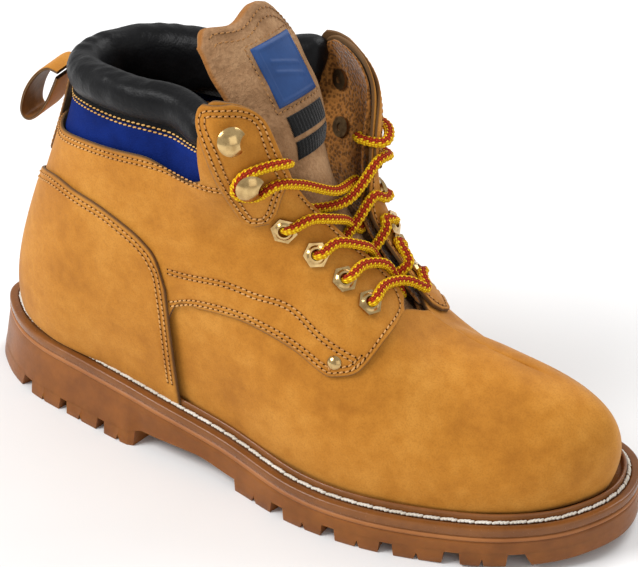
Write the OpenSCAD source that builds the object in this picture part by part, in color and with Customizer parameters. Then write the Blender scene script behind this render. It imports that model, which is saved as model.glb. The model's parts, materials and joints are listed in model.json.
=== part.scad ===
// Steel toe work boot, right foot, size 43.
// Millimetres. +X to the toe, +Y to the inner side of the foot, +Z up.
// The origin is on the ground under the middle of the outsole.

/* [Sole] */
// height of the forefoot welt edge above the ground
forefoot_h = 18.9; // [18.4:0.1:20]
// height of the heel welt edge above the ground
heel_h = 30.7; // [29.5:0.1:32]
// rise of the toe tip above the ground
toe_spring = 6; // [4:0.5:8]
// depth of the gaps between the lugs
tread_depth = 6; // [4:0.5:7]

/* [Leather] */
// thickness of the vamp and quarter leather
leather = 1.7; // [1.4:0.1:1.9]
// clearance between one layer and the next
layer_gap = 0.4; // [0.3:0.05:0.5]
// amount by which the two lace flaps stand open at the top
flap_open = 24; // [20:1:26]

/* [Hardware] */
// width across the flats of a hexagonal eyelet
eyelet_af = 10; // [9:0.5:11]
// bore of an eyelet
eyelet_bore = 5; // [4.6:0.1:5.4]
// diameter of a speed hook dome
hook_dia = 12.5; // [11:0.5:13]
// lace diameter
lace_dia = 4.2; // [3:0.1:4.4]

/* [Hidden] */

// colours
c_nubuck = [0.80, 0.56, 0.27];
c_edge = [0.42, 0.25, 0.12];
c_gum = [0.62, 0.38, 0.20];
c_brass = [0.86, 0.74, 0.48];
c_steel = [0.62, 0.64, 0.66];
c_black = [0.10, 0.10, 0.11];
c_brown = [0.45, 0.29, 0.16];

// ---------- general curve functions ----------
function lerp(a, b, t) = a + (b - a) * t;
function clamp(x, a, b) = max(a, min(b, x));
function smooth(a, b, x) = let (t = clamp((x - a) / (b - a), 0, 1)) t * t * (3 - 2 * t);
function unit(v) = v / max(norm(v), 0.000001);
// Catmull-Rom blend of four values
function blend4(a, b, c, d, f) =
  0.5 * (2 * b + (c - a) * f + (2 * a - 5 * b + 4 * c - d) * f * f + (3 * b - a - 3 * c + d) * f * f * f);
// smooth value of a table of [x, y] pairs at x
function slot_of(T, x, i = 0) = (i >= len(T) - 2 || x <= T[i + 1][0]) ? i : slot_of(T, x, i + 1);
function slope_at(T, i) =
  i == 0 ? (T[1][1] - T[0][1]) / (T[1][0] - T[0][0])
  : i == len(T) - 1 ? (T[i][1] - T[i - 1][1]) / (T[i][0] - T[i - 1][0])
  : (T[i + 1][1] - T[i - 1][1]) / (T[i + 1][0] - T[i - 1][0]);
function curve(T, x) = let (
    i = slot_of(T, x),
    w = T[i + 1][0] - T[i][0],
    t = clamp((x - T[i][0]) / w, 0, 1))
  (2 * t * t * t - 3 * t * t + 1) * T[i][1] + (t * t * t - 2 * t * t + t) * w * slope_at(T, i)
  + (3 * t * t - 2 * t * t * t) * T[i + 1][1] + (t * t * t - t * t) * w * slope_at(T, i + 1);
// smooth point on an open run of points, t from 0 to len - 1
function along(P, t) = let (
    n = len(P),
    i = clamp(floor(t), 0, n - 2))
  blend4(i > 0 ? P[i - 1] : 2 * P[0] - P[1], P[i], P[i + 1],
    i + 2 < n ? P[i + 2] : 2 * P[n - 1] - P[n - 2], t - i);

// ---------- sole outline, heel - outer side - toe - inner side ----------
EDGE = [[-155, 0], [-142.7, -16.9], [-122.9, -28.6], [-93.7, -35.1], [-55.3, -41.4], [-15.1, -44.8],
  [25.2, -54.2], [59.8, -53.9], [93.6, -45.6], [120.6, -34.8], [142.1, -18.1], [154.3, 6.2],
  [150.4, 30.4], [134, 47], [102, 55], [65, 55], [20, 47], [-20, 37], [-60, 36], [-100, 38],
  [-130, 34], [-148, 21]];
function edge_pt(t) = let (i = floor(t), f = t - i)
  blend4(EDGE[(i + 21) % 22], EDGE[i % 22], EDGE[(i + 1) % 22], EDGE[(i + 2) % 22], f);
function edge_out(t) = let (
    a = edge_pt((t + 22 - 0.2) % 22),
    b = edge_pt((t + 0.2) % 22),
    d = unit(b - a))
  [-d[1], d[0]] * -1;
function outline(t, d) = edge_pt(t % 22) + d * edge_out(t % 22);
RINGN = 66;
function ring(d, z) = [for (k = [0:RINGN - 1])
  let (p = outline(k * 22 / RINGN, d)) [p[0], p[1], z(p[0])]];

// heights along the boot
function ground(x) = let (t = clamp((x - 70) / 85, 0, 1.2)) toe_spring * t * t;
WELT_TOP = [[-160, heel_h], [-90, heel_h - 0.5], [-60, heel_h - 2], [-10, 22.2], [35, forefoot_h],
  [75, forefoot_h], [160, forefoot_h]];
function welt_top(x) = curve(WELT_TOP, x) + ground(x);
function tread_roof(x) = ground(x) + tread_depth + 3 * smooth(-66, -58, x) * (1 - smooth(-30, -8, x));

// solid between a stack of rings; the two ends are closed by strips across the sole
module ring_stack(R) {
  n = RINGN;
  m = len(R);
  walls = [for (j = [0:m - 2]) for (k = [0:n - 1])
    [j * n + k, (j + 1) * n + k, (j + 1) * n + (k + 1) % n, j * n + (k + 1) % n]];
  foot = [for (k = [0:n / 2 - 1]) [k, k + 1, n - k - 1, (n - k) % n]];
  lid = [for (k = [0:n / 2 - 1]) [(n - k) % n, n - k - 1, k + 1, k] + [1, 1, 1, 1] * (m - 1) * n];
  polyhedron(points = [for (r = R) for (p = r) p],
    faces = halves(concat(walls, foot, lid)));
}
// four-sided faces cut into triangles, with empty ones dropped
function halves(F) = [for (f = F) for (h = [[f[0], f[1], f[2]], [f[0], f[2], f[3]]])
  if (h[0] != h[1] && h[1] != h[2] && h[0] != h[2]) h];

// ---------- the upper's guide surface ----------
// Each station: foot point, lower handle (forward, outward, up), upper handle (forward, outward, up),
// and top point. Stations 0 to 14 run from the heel round the outer side to the toe.
OUTER = [
  [[-142, 1, 36], [-6, 0, 30], [-6, 0, -45], [-112, 1, 166]],
  [[-134, -15, 36], [-5, 4, 30], [-5, 2, -45], [-105, -17, 168]],
  [[-112, -26, 35], [-2, 7, 30], [-2, 3, -45], [-92, -27, 171]],
  [[-82, -29, 33], [0, 9, 30], [0, 3, -45], [-74, -33, 173]],
  [[-48, -33, 29], [0, 8, 32], [0, 2, -45], [-56, -35, 175]],
  [[-16, -37, 26], [0, 8, 34], [2, 4, -45], [-38, -33, 176]],
  [[10, -43, 24.5], [-2, 8, 36], [6, 7, -40], [-20, -22, 178]],
  [[32, -46.5, 23], [-4, 8, 36], [6, 22, -30], [-5, 0, 176]],
  [[54, -46.5, 23], [-4, 7, 34], [4, 24, -20], [6, 0, 150]],
  [[76, -42.5, 23.5], [-3, 7, 32], [2, 24, -12], [20, 0, 128]],
  [[97, -36.5, 24.5], [-2, 7, 30], [2, 24, -8], [38, 3, 106]],
  [[115, -29, 26], [1, 7, 27], [3, 25, -2], [58, 6, 86.5]],
  [[129, -20, 27.5], [4, 7, 26], [8, 28, -1], [77, 7, 79]],
  [[140, -7, 28.5], [7, 5, 27], [26, 22, 0], [93, 7, 76]],
  [[146, 8, 29], [8, 0, 28], [40, 1, -0.5], [104, 8, 73.5]]];
// Stations 1 to 13 of the inner side.
INNER = [
  [[-134, 16, 36], [-5, 4, 30], [-5, 2, -45], [-105, 19, 166]],
  [[-112, 28, 35], [-2, 7, 30], [-2, 3, -45], [-92, 29, 167]],
  [[-82, 29, 33], [0, 10, 30], [0, 3, -45], [-74, 34, 168]],
  [[-48, 26, 29], [0, 12, 32], [0, 2, -45], [-56, 36, 169]],
  [[-16, 29, 26], [0, 12, 34], [2, 4, -45], [-37, 34, 172]],
  [[10, 36, 24.5], [-2, 10, 36], [6, 7, -40], [-16, 23, 178]],
  [[34, 43, 23], [-4, 6, 36], [5, 11, -36], [7, 9, 178]],
  [[56, 46, 23], [-4, 1, 32], [4, 9, -33], [14, 8, 156]],
  [[78, 46.5, 23.5], [-3, 0, 28], [2, 8, -29], [21, 7, 132]],
  [[98, 46, 24.5], [-2, -1, 24], [2, 8, -22], [38, 7, 108.5]],
  [[116, 43.5, 26], [1, 1, 21], [3, 11, -9], [58, 6, 86.5]],
  [[131, 36, 27.5], [4, 4, 22], [8, 15, -4], [77, 7, 79]],
  [[142, 23, 28.5], [7, 4, 25], [24, 13, -1.5], [93, 7, 76]]];
// handles as points: [foot, low, high, top]
function handles(s, side) = [s[0], s[0] + [s[1][0], side * s[1][1], s[1][2]],
  s[3] + [s[2][0], side * s[2][1], s[2][2]], s[3]];
STATIONS = concat([for (s = OUTER) handles(s, -1)], [for (i = [12:-1:0]) handles(INNER[i], 1)]);
function rib(u) = let (i = floor(u), f = u - i)
  blend4(STATIONS[(i + 27) % 28], STATIONS[i % 28], STATIONS[(i + 1) % 28], STATIONS[(i + 2) % 28], f);
// point of the guide surface: u goes round the boot (0 heel, 14 toe, 28 heel), v goes up (0 foot, 1 top)
function skin0(u, v) = let (
    r = rib((u + 28) % 28),
    w = 1 - v,
    p = w * w * w * r[0] + 3 * w * w * v * r[1] + 3 * w * v * v * r[2] + v * v * v * r[3],
    side = ((u + 28) % 28) <= 14 ? -1 : 1,
    k = smooth(118, 172, p[2]) * smooth(-48, -12, p[0]))
  p + [0, side * flap_open * k, 0];
function skin_out(u, v) = let (vc = min(v, 0.96), e = 0.04)
  unit(cross(skin0(u + e, vc) - skin0(u - e, vc), skin0(u, vc + e) - skin0(u, vc - e)));
function skin(u, v, off) = skin0(u, v) + off * skin_out(u, v);
// place on the inner side that answers to place u of the outer side; the inner flap reaches further forward
function sided(u, side) = side < 0 ? u
  : 28 - (u + 0.35 * smooth(9.3, 10.3, u) + 0.4 * smooth(6.2, 7, u) * (1 - smooth(7.6, 8.4, u)));

// closed solid between two grids of points, outer and inner; zip joins the top edges of
// columns zip .. n - zip across the instep
module shell(A, B, zip = -1) {
  n = len(A) - 1;
  m = len(A[0]) - 1;
  function at(i, j) = (zip >= 0 && j == m && i > n / 2 && n - i >= zip) ? (n - i) * (m + 1) + j
    : i * (m + 1) + j;
  open_top = [for (i = [0:n - 1]) if (!(zip >= 0 && i >= zip && i < n - zip)) i];
  q = (n + 1) * (m + 1);
  polyhedron(points = concat([for (c = A) for (p = c) p], [for (c = B) for (p = c) p]),
    faces = halves(concat(
      [for (i = [0:n - 1]) for (j = [0:m - 1]) [at(i, j), at(i, j + 1), at(i + 1, j + 1), at(i + 1, j)]],
      [for (i = [0:n - 1]) for (j = [0:m - 1])
        [q + at(i + 1, j), q + at(i + 1, j + 1), q + at(i, j + 1), q + at(i, j)]],
      [for (i = [0:n - 1]) [at(i, 0), at(i + 1, 0), q + at(i + 1, 0), q + at(i, 0)]],
      [for (i = open_top) [q + at(i, m), q + at(i + 1, m), at(i + 1, m), at(i, m)]],
      [for (j = [0:m - 1]) [q + at(0, j), q + at(0, j + 1), at(0, j + 1), at(0, j)]],
      [for (j = [0:m - 1]) [at(n, j), at(n, j + 1), q + at(n, j + 1), q + at(n, j)]])));
}
// panel lying on the guide surface: uv(s, t) places it, lo and hi are its two offsets
module panel(ns, nt, uv, lo, hi, zip = -1, push = function(u, v) 0) {
  G = [for (i = [0:ns]) [for (j = [0:nt]) uv(i / ns, j / nt)]];
  shell([for (c = G) [for (g = c) skin(g[0], g[1], hi + push(g[0], g[1]))]],
    [for (c = G) [for (g = c) skin(g[0], g[1], lo + push(g[0], g[1]))]], zip);
}

// offsets of the layers from the guide surface
in_hi = -2.2;
in_lo = -3.2;
vamp_lo = -leather;
vamp_hi = 0;
qtr_lo = vamp_hi + layer_gap;
qtr_hi = qtr_lo + leather;
top_lo = qtr_hi + layer_gap;
top_hi = top_lo + 1.5;

// ---------- sole parts ----------
module outsole() {
  color(c_gum)
  union() {
    ring_stack([ring(1, function(x) tread_roof(x)),
      ring(0, function(x) welt_top(x) - 6.9)]);
    outer_lugs();
    centre_bars();
  }
}
// lugs along one side of the outline, counted from the heel; the other side mirrors them
LUGS = [[0.08, 1.75], [1.98, 2.65], [2.77, 3.32], [3.42, 3.85], [5.21, 5.76], [5.92, 6.49], [6.66, 7.27],
  [7.42, 8.08], [8.29, 9.02]];
module outer_lugs() {
  for (g = LUGS) for (side = [0, 1]) {
    flare = g[1] < 4 ? 3 : 0.5;
    if (side == 0) lug(22 + g[0], 22 + g[1], 16, flare); else lug(22 - g[1], 22 - g[0], 16, flare);
  }
  lug(9.26, 12.74, 16, 0.5);
}
module lug(a, b, deep, flare) {
  n = 1 + ceil((b - a) / 0.45);
  T = [for (i = [0:n]) lerp(a, b, i / n)];
  S = [for (i = [n:-1:0]) lerp(a, b, i / n)];
  low = concat([for (t = T) outline(lerp(t, (a + b) / 2, 0.06), flare)],
    [for (t = S) outline(lerp(t, (a + b) / 2, 0.08), -deep + 1)]);
  high = concat([for (t = T) outline(t, 0.9)], [for (t = S) outline(t, -deep)]);
  m = len(low);
  strip = [for (i = [0:n - 1]) [i, i + 1, m - 2 - i, m - 1 - i]];
  polyhedron(points = concat([for (p = low) [p[0], p[1], ground(p[0])]],
      [for (p = high) [p[0], p[1], tread_roof(p[0]) + 1]]),
    faces = halves(concat(strip, [for (f = strip) [f[3], f[2], f[1], f[0]] + [1, 1, 1, 1] * m],
      [for (i = [0:m - 1]) [m + i, m + (i + 1) % m, (i + 1) % m, i]])));
}
module centre_bars() {
  for (i = [0:5])
    translate([19 * i, 0.6 * i, ground(19 * i)])
      translate([-5, -17, 0]) cube([10, 34, tread_depth + 1.5]);
  for (i = [0:2])
    translate([-122 + 22 * i, 1, 0]) translate([-5, -9, 0]) cube([10, 18, tread_depth + 1]);
}
module midsole() {
  color([0.72, 0.42, 0.20])
  ring_stack([ring(-0.3, function(x) welt_top(x) - 6.7), ring(-0.3, function(x) welt_top(x) - 4.4)]);
}
// flange and raised lip, one moulding
module welt() {
  n = RINGN;
  S = [[0, -4.2], [0, -0.2], [-1, 0], [-3.4, 0], [-3.8, -0.9], [-5.8, -0.9], [-6.0, 0.6], [-6.0, 2.8],
    [-6.7, 3.4], [-7.6, 2.6], [-7.9, 0.4], [-8.6, 0], [-13, -1.2], [-13, -4.2]];
  m = len(S);
  color([0.40, 0.24, 0.14])
  polyhedron(points = [for (s = S) for (p = ring(s[0], function(x) welt_top(x) + s[1])) p],
    faces = halves([for (j = [0:m - 1]) for (k = [0:n - 1])
      [j * n + k, ((j + 1) % m) * n + k, ((j + 1) % m) * n + (k + 1) % n, j * n + (k + 1) % n]]));
}
// one stitch lies in the groove for every step along the edge
stitches = 96;
module welt_stitching() {
  color([0.93, 0.90, 0.82])
  for (k = [0:stitches - 1]) {
    a = stitch_pt(k);
    b = stitch_pt(k + 0.8);
    d = b - a;
    translate(a) rotate([0, acos(d[2] / norm(d)), atan2(d[1], d[0])])
      cylinder(d = 1.7, h = norm(d), $fn = 8);
  }
}
function stitch_pt(k) = let (p = outline((k * 22 / stitches) % 22, -4.8)) [p[0], p[1], welt_top(p[0]) + 0.2];

module steel_plate() {
  color(c_steel)
  ring_stack([ring(-13.5, function(x) welt_top(x) - 4.1), ring(-13.5, function(x) welt_top(x) - 3.5)]);
}
module filler() {
  color([0.55, 0.42, 0.28])
  difference() {
    ring_stack([ring(-14, function(x) welt_top(x) - 3.3), ring(-14, function(x) welt_top(x) - 0.9)]);
    translate([-75, -8, 15]) cube([78, 16, 20]);
  }
}
module shank() {
  zs = function(x) welt_top(x) - 2.9;
  P = [for (i = [0:9]) -72 + 8 * i];
  A = [for (x = P) [[x, -6, zs(x)], [x, 6, zs(x)]]];
  B = [for (x = P) [[x, -6, zs(x) + 1.5], [x, 6, zs(x) + 1.5]]];
  color(c_steel) shell(B, A);
}
module insole_board() {
  color([0.60, 0.52, 0.40])
  ring_stack([ring(-13, function(x) welt_top(x) - 0.7), ring(-13, function(x) welt_top(x) + 1.2)]);
}
module footbed() {
  color(c_brown)
  ring_stack([ring(-15, function(x) welt_top(x) + 1.5), ring(-14.4, function(x) welt_top(x) + 3.4),
    ring(-15.6, function(x) welt_top(x) + 4.8)]);
}

// ---------- toe and heel reinforcement ----------
module toe_cap() {
  color(c_steel)
  panel(24, 9, function(s, t) [lerp(11.4, 16.6, s), lerp(0.16, 1, t)], -3.6, -2.1, 3);
}
module toe_cap_trim() {
  color(c_black) {
    panel(1, 9, function(s, t) [lerp(11.05, 11.33, s), lerp(0.16, 0.98, t)], -3.4, -2.3);
    panel(1, 9, function(s, t) [lerp(16.67, 16.95, s), lerp(0.16, 0.98, t)], -3.4, -2.3);
  }
}
module heel_stiffener() {
  color([0.50, 0.38, 0.25])
  panel(20, 6, function(s, t) [lerp(-3.9, 3.9, s), lerp(0.04, 0.46, t)], -2.0, -0.9);
}

// ---------- vamp ----------
// top edge of the vamp, which tucks under the quarters
VAMP_TOP = [[3.8, 0.40], [4.6, 0.47], [6.2, 0.48], [8, 0.46], [9, 0.53], [9.8, 0.66], [10.5, 0.86], [11, 1]];
function vamp_top(u) = let (a = u > 14 ? 28 - u : u) a >= 11 ? 1 : curve(VAMP_TOP, a);
module vamp() {
  color(c_nubuck)
  panel(50, 10, function(s, t) let (u = lerp(4, 24, s)) [u, lerp(-0.04, vamp_top(u), t)],
    vamp_lo, vamp_hi, 18);
}
module vamp_lining() {
  color(c_brown)
  panel(36, 8, function(s, t) let (u = lerp(8.4, 19.6, s)) [u, lerp(0.06, vamp_top(u), t)],
    -5, -4, 9);
}

// ---------- quarters ----------
QTR_LOW = [[0, 0.03], [3.5, 0.03], [4.3, 0.38], [4.85, 0.42], [5.7, 0.42], [6.9, 0.378], [7.8, 0.367],
  [8.1, 0.38], [8.65, 0.42], [9.05, 0.475], [9.55, 0.57], [10.1, 0.70], [10.45, 0.83]];
QTR_TOP = [[0, 0.775], [1.2, 0.78], [2.5, 0.80], [3.75, 0.812], [5.5, 0.81], [5.72, 0.99], [5.95, 1.075],
  [6.3, 1.07], [6.6, 1.03], [6.9, 0.975], [7.35, 0.905], [7.8, 0.86], [9, 0.865], [9.8, 0.92],
  [10.2, 0.93], [10.45, 0.90]];
QTR_TOP_IN = [[0, 0.775], [1.2, 0.78], [2.5, 0.80], [3.75, 0.812], [5.5, 0.81], [5.75, 0.96], [6.1, 1.01],
  [6.55, 1.015], [6.95, 0.985], [7.35, 0.925], [7.8, 0.865], [9, 0.865], [9.8, 0.92], [10.2, 0.93],
  [10.45, 0.90]];
function qtr_top(u, side) = curve(side < 0 ? QTR_TOP : QTR_TOP_IN, u);
QTR_U = [0, 0.35, 0.7, 1.1, 1.5, 1.95, 2.4, 2.8, 3.2, 3.55, 3.9, 4.3, 4.8, 5.3, 5.5, 5.6, 5.72, 5.83, 5.95,
  6.1, 6.3, 6.6, 6.9, 7.1, 7.4, 7.8, 8.2, 8.6, 9.0, 9.4, 9.8, 10.1, 10.3, 10.45];
module quarter(side) {
  A = [for (u = QTR_U) [for (j = [0:7])
    skin(sided(u + 0.03, side), lerp(curve(QTR_LOW, u), qtr_top(u, side), j / 7), qtr_hi)]];
  B = [for (u = QTR_U) [for (j = [0:7])
    skin(sided(u + 0.03, side), lerp(curve(QTR_LOW, u), qtr_top(u, side), j / 7), qtr_lo)]];
  if (side < 0) shell(A, B); else shell(B, A);
}
module quarter_lateral() {
  color(c_nubuck)
  difference() {
    quarter(-1);
    for (e = EYES) on_skin(e[0], e[1], 0) cylinder(d = eyelet_bore + 1.9, h = 14, center = true, $fn = 16);
  }
}
module quarter_medial() {
  color(c_nubuck)
  difference() {
    quarter(1);
    for (e = EYES) on_skin(sided(e[0], 1), e[1], 0) cylinder(d = eyelet_bore + 1.9, h = 14, center = true, $fn = 16);
  }
}
// the lining comes up against the leather in the free flaps beside the collar
function flap_push(u, v) = let (a = abs(u))
  1.9 * smooth(0.7, 0.82, v) * smooth(5.85, 6.15, a) * (1 - smooth(7.3, 7.8, a));
module quarter_lining() {
  color(c_brown)
  difference() {
  panel(62, 7, function(s, t) let (u = lerp(10.3, -10.3, 1 - s), a = abs(u),
      low = lerp(0.04, curve(QTR_LOW, a) + 0.02, smooth(7.4, 8.6, a)),
      high = lerp(0.78, min(qtr_top(a, -u) - 0.02, 1.04), smooth(5.3, 6.0, a)))
    [u < 0 ? sided(-u, 1) - 28 : u, lerp(low, high, t)], in_lo, in_hi, push = function(u, v) flap_push(u, v));
    for (e = EYES) for (side = [-1, 1]) on_skin(sided(e[0], side), e[1], 0)
      cylinder(d = eyelet_bore + 1.9, h = 14, center = true, $fn = 16);
  }
}

// ---------- heel, collar and facings ----------
HEEL_TOP = [[0, 0.53], [0.8, 0.60], [1.5, 0.635], [2.2, 0.632], [2.8, 0.622], [3.45, 0.592],
  [3.85, 0.56], [4.1, 0.52], [4.24, 0.44]];
module heel_panel() {
  color(c_nubuck)
  panel(34, 8, function(s, t) let (u = lerp(-4.24, 4.24, s)) [u, lerp(0.02, curve(HEEL_TOP, abs(u)), t)],
    top_lo, top_hi);
}
module backstay() {
  color(c_nubuck)
  panel(3, 6, function(s, t) [lerp(-0.32, 0.32, s), lerp(0.63, 0.90, t)], top_lo, top_hi - 0.2);
}
module collar_band() {
  color([0.06, 0.12, 0.50])
  panel(36, 3, function(s, t) [lerp(-5.7, 5.7, s), lerp(0.76, 0.915, t)], -1.9, -0.7);
}
// section of the padded collar: height along the guide surface and offset from it
ROLL = [[0.925, -1.4], [0.935, 1.6], [0.96, 3.4], [0.99, 3.8], [1.02, 2.6], [1.04, -0.6], [1.045, -4.6],
  [1.03, -9], [1.0, -12], [0.95, -13.5], [0.88, -12.5], [0.82, -9.5]];
function roll_edge(u) = let (a = abs(u)) 1 - 0.012 * smooth(4.6, 5.5, a);
module collar_cover() {
  U = [for (i = [0:34]) -5.6 + 11.2 * i / 34];
  color(c_black)
  shell([for (u = U) [for (k = [0:11]) skin(u, ROLL[k][0] * roll_edge(u), ROLL[k][1])]],
    [for (u = U) [for (k = [0:11]) let (q = roll_shrink(k, 1.2)) skin(u, q[0] * roll_edge(u), q[1])]]);
}
// point k of the collar section moved towards the middle of the roll
function roll_shrink(k, d) = let (
    c = [0.965, -5.2],
    p = ROLL[k],
    w = [(p[0] - c[0]) * 130, p[1] - c[1]],
    q = w * (1 - d / norm(w)))
  [c[0] + q[0] / 130, c[1] + q[1]];
module collar_foam() {
  U = [for (i = [0:30]) -5.5 + 11 * i / 30];
  n = 12;
  P = [for (u = U) for (k = [0:11]) let (q = roll_shrink(k, 1.7)) skin(u, q[0] * roll_edge(u), q[1])];
  color([0.55, 0.55, 0.56])
  polyhedron(points = P, faces = concat(
    halves([for (i = [0:29]) for (k = [0:11])
      [i * n + k, i * n + (k + 1) % n, (i + 1) * n + (k + 1) % n, (i + 1) * n + k]]),
    [[for (k = [11:-1:0]) k]], [[for (k = [0:11]) 30 * n + k]]));
}
FACE_REAR = [[0.665, 6.3], [0.69, 6.06], [0.75, 5.98], [0.81, 5.95], [0.90, 5.88], [0.99, 5.68], [1.04, 5.72],
  [1.07, 5.85]];
FACE_FRONT = [[0.665, 6.55], [0.70, 6.85], [0.78, 7.2], [0.85, 7.5], [0.90, 7.33], [0.97, 6.93], [1.04, 6.5],
  [1.07, 6.25]];
module hook_facing(side) {
  V = [for (j = [0:14]) 0.667 + 0.4 * j / 14];
  G = [for (i = [0:4]) [for (v = V) let (u = lerp(curve(FACE_REAR, v), curve(FACE_FRONT, v), i / 4))
    [sided(u, side), side < 0 ? v : v - 0.055 * smooth(0.85, 1.07, v)]]];
  A = [for (c = G) [for (g = c) skin(g[0], g[1], top_hi)]];
  B = [for (c = G) [for (g = c) skin(g[0], g[1], top_lo + 0.25)]];
  if (side < 0) shell(A, B); else shell(B, A);
}
module hook_facing_lateral() color(c_nubuck) hook_facing(-1);
module hook_facing_medial() color(c_nubuck) hook_facing(1);

// leather strip doubled into a loop, hanging off the back of the collar
LOOP = [[-121.5, 155], [-127.5, 155.2], [-134, 149.5], [-139.5, 140.5], [-142, 131.5], [-141, 127.2],
  [-137.5, 127], [-132.5, 131.5], [-128, 138.5], [-124.6, 146], [-122, 152.2]];
module pull_loop() {
  m = 20;
  C = [for (i = [0:m]) along(LOOP, i * 10 / m)];
  N = [for (i = [0:m]) let (d = unit(C[min(i + 1, m)] - C[max(i - 1, 0)])) [-d[1], d[0]]];
  A = [for (i = [0:m]) let (p = C[i] + 0.8 * N[i]) [for (y = [-9, 0, 9]) [p[0], y + 1, p[1]]]];
  B = [for (i = [0:m]) let (p = C[i] - 0.8 * N[i]) [for (y = [-9, 0, 9]) [p[0], y + 1, p[1]]]];
  color(c_edge) shell(B, A);
}

// ---------- tongue ----------
// centre line of the tongue, side view
SPINE = [[66, 71], [46, 85], [31, 100], [18, 117], [8, 134], [1, 151], [-8, 169], [-19, 187], [-31, 205]];
function spine(t) = along(SPINE, t);
function spine_out(t) = let (d = unit(spine(min(t + 0.05, 8)) - spine(max(t - 0.05, 0)))) [d[1], -d[0]];
TONGUE_HALF = [[0, 17], [1, 14], [2, 13.5], [3, 13.5], [4, 16], [5, 20], [6, 23.5], [7, 25.5], [8, 25]];
function tongue_pt(t, y, off) = let (
    p = spine(t),
    n = spine_out(t),
    sag = lerp(0.028, 0.011, smooth(4, 6, t)) * y * y,
    q = p + (off - sag) * n)
  [q[0] + 0.15 * y * smooth(4.2, 6, t), y, q[1]];
// the tongue thins to a fold line where the flap meets the base
FOLD_T = 4.885;
function plump(t) = lerp(0.25, 1, smooth(0, 0.35, abs(t - FOLD_T)));
// slab of tongue between two heights, thinner at its side edges
module tongue_piece(t0, t1, nt, lo, hi, trim = 0) {
  T = [for (i = [0:nt]) lerp(t0, t1, i / nt)];
  Y = [for (j = [-5:5]) j / 5];
  A = [for (t = T) [for (y = Y) let (h = curve(TONGUE_HALF, t) - trim)
    tongue_pt(t, h * y, plump(t) * hi * (1 - 0.55 * pow(abs(y), 4)))]];
  B = [for (t = T) [for (y = Y) let (h = curve(TONGUE_HALF, t) - trim)
    tongue_pt(t, h * y, plump(t) * lo * (1 - 0.55 * pow(abs(y), 4)))]];
  shell(B, A);
}
module tongue_base() color([0.74, 0.58, 0.42]) tongue_piece(0.1, 4.85, 12, -2.6, 2.4);
module tongue_flap() color([0.74, 0.58, 0.42]) tongue_piece(4.92, 8, 10, -4, 4);
module tongue_sticker(t0, t1, y0, y1, h) {
  T = [for (i = [0:4]) lerp(t0, t1, i / 4)];
  Y = [for (j = [0:4]) lerp(y0, y1, j / 4)];
  function base(t, y) = 4 * plump(t) * (1 - 0.55 * pow(abs(y / curve(TONGUE_HALF, t)), 4)) + 0.3;
  shell([for (t = T) [for (y = Y) tongue_pt(t, y, base(t, y))]],
    [for (t = T) [for (y = Y) tongue_pt(t, y, base(t, y) + h)]]);
}
module tongue_patch() color([0.10, 0.30, 0.62]) tongue_sticker(6.1, 7.4, -10, 15, 1.2);
module tongue_tabs() {
  color(c_black) {
    tongue_sticker(5.44, 5.88, -9, 15, 0.5);
    tongue_sticker(4.96, 5.33, -9, 15, 0.5);
  }
}
// folded web from the tongue edge to the quarter lining
module gusset(side) {
  T = [for (i = [0:8]) lerp(1.4, 4.4, i / 8)];
  F = [for (t = T) let (
      p = tongue_pt(t, side * (curve(TONGUE_HALF, t) + 1), -2),
      u = lerp(10.2, 7.9, (t - 1.4) / 3),
      q = skin(sided(u, side), 0.58, in_lo - 1.2 - 1.6 * smooth(7.9, 8.7, u)))
    [p, lerp(p, q, 0.5) - [1.5, 0, 2], q]];
  A = [for (r = F) [for (p = r) p + [0.45, 0, 0.45]]];
  B = [for (r = F) [for (p = r) p - [0.45, 0, 0.45]]];
  if (side < 0) shell(A, B); else shell(B, A);
}
module gusset_lateral() color([0.62, 0.46, 0.32]) gusset(-1);
module gusset_medial() color([0.62, 0.46, 0.32]) gusset(1);

// ---------- hardware ----------
// eyelet and hook places on the guide surface of the outer side
EYES = [[6.9, 0.647], [7.93, 0.668], [8.86, 0.692], [9.47, 0.692]];
HOOKS = [[6.28, 0.945], [6.48, 0.805]];
HOOKS_IN = [[6.18, 0.865], [6.31, 0.745]];
// puts its child on the guide surface with +Z pointing out and +X pointing along +u
module on_skin(u, v, off, turn = 0) {
  n = skin_out(u, v);
  p = skin0(u, v) + off * n;
  t = unit(skin0(u + 0.05, v) - skin0(u - 0.05, v));
  x = unit(t - n * (t * n));
  y = cross(n, x);
  multmatrix([[x[0], y[0], n[0], p[0]], [x[1], y[1], n[1], p[1]], [x[2], y[2], n[2], p[2]], [0, 0, 0, 1]])
    rotate([0, 0, turn]) children();
}
module eyelet() {
  difference() {
    union() {
      translate([0, 0, qtr_hi + 0.7]) cylinder(d = eyelet_af / cos(30), h = 1.1, $fn = 6);
      translate([0, 0, qtr_hi + 1.8]) cylinder(d1 = eyelet_bore + 3.2, d2 = eyelet_bore + 1.6, h = 0.7, $fn = 32);
      translate([0, 0, -4.6]) cylinder(d = eyelet_bore + 1.2, h = qtr_hi + 5.6, $fn = 32);
      translate([0, 0, -4.9]) cylinder(d = eyelet_bore + 4, h = 0.7, $fn = 32);
    }
    translate([0, 0, -6]) cylinder(d = eyelet_bore, h = 16, $fn = 32);
  }
}
module eyelets_lateral() color(c_brass) for (e = EYES) on_skin(e[0], e[1], 0) eyelet();
module eyelets_medial() color(c_brass) for (e = EYES) on_skin(sided(e[0], 1), e[1], 0) eyelet();
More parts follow.
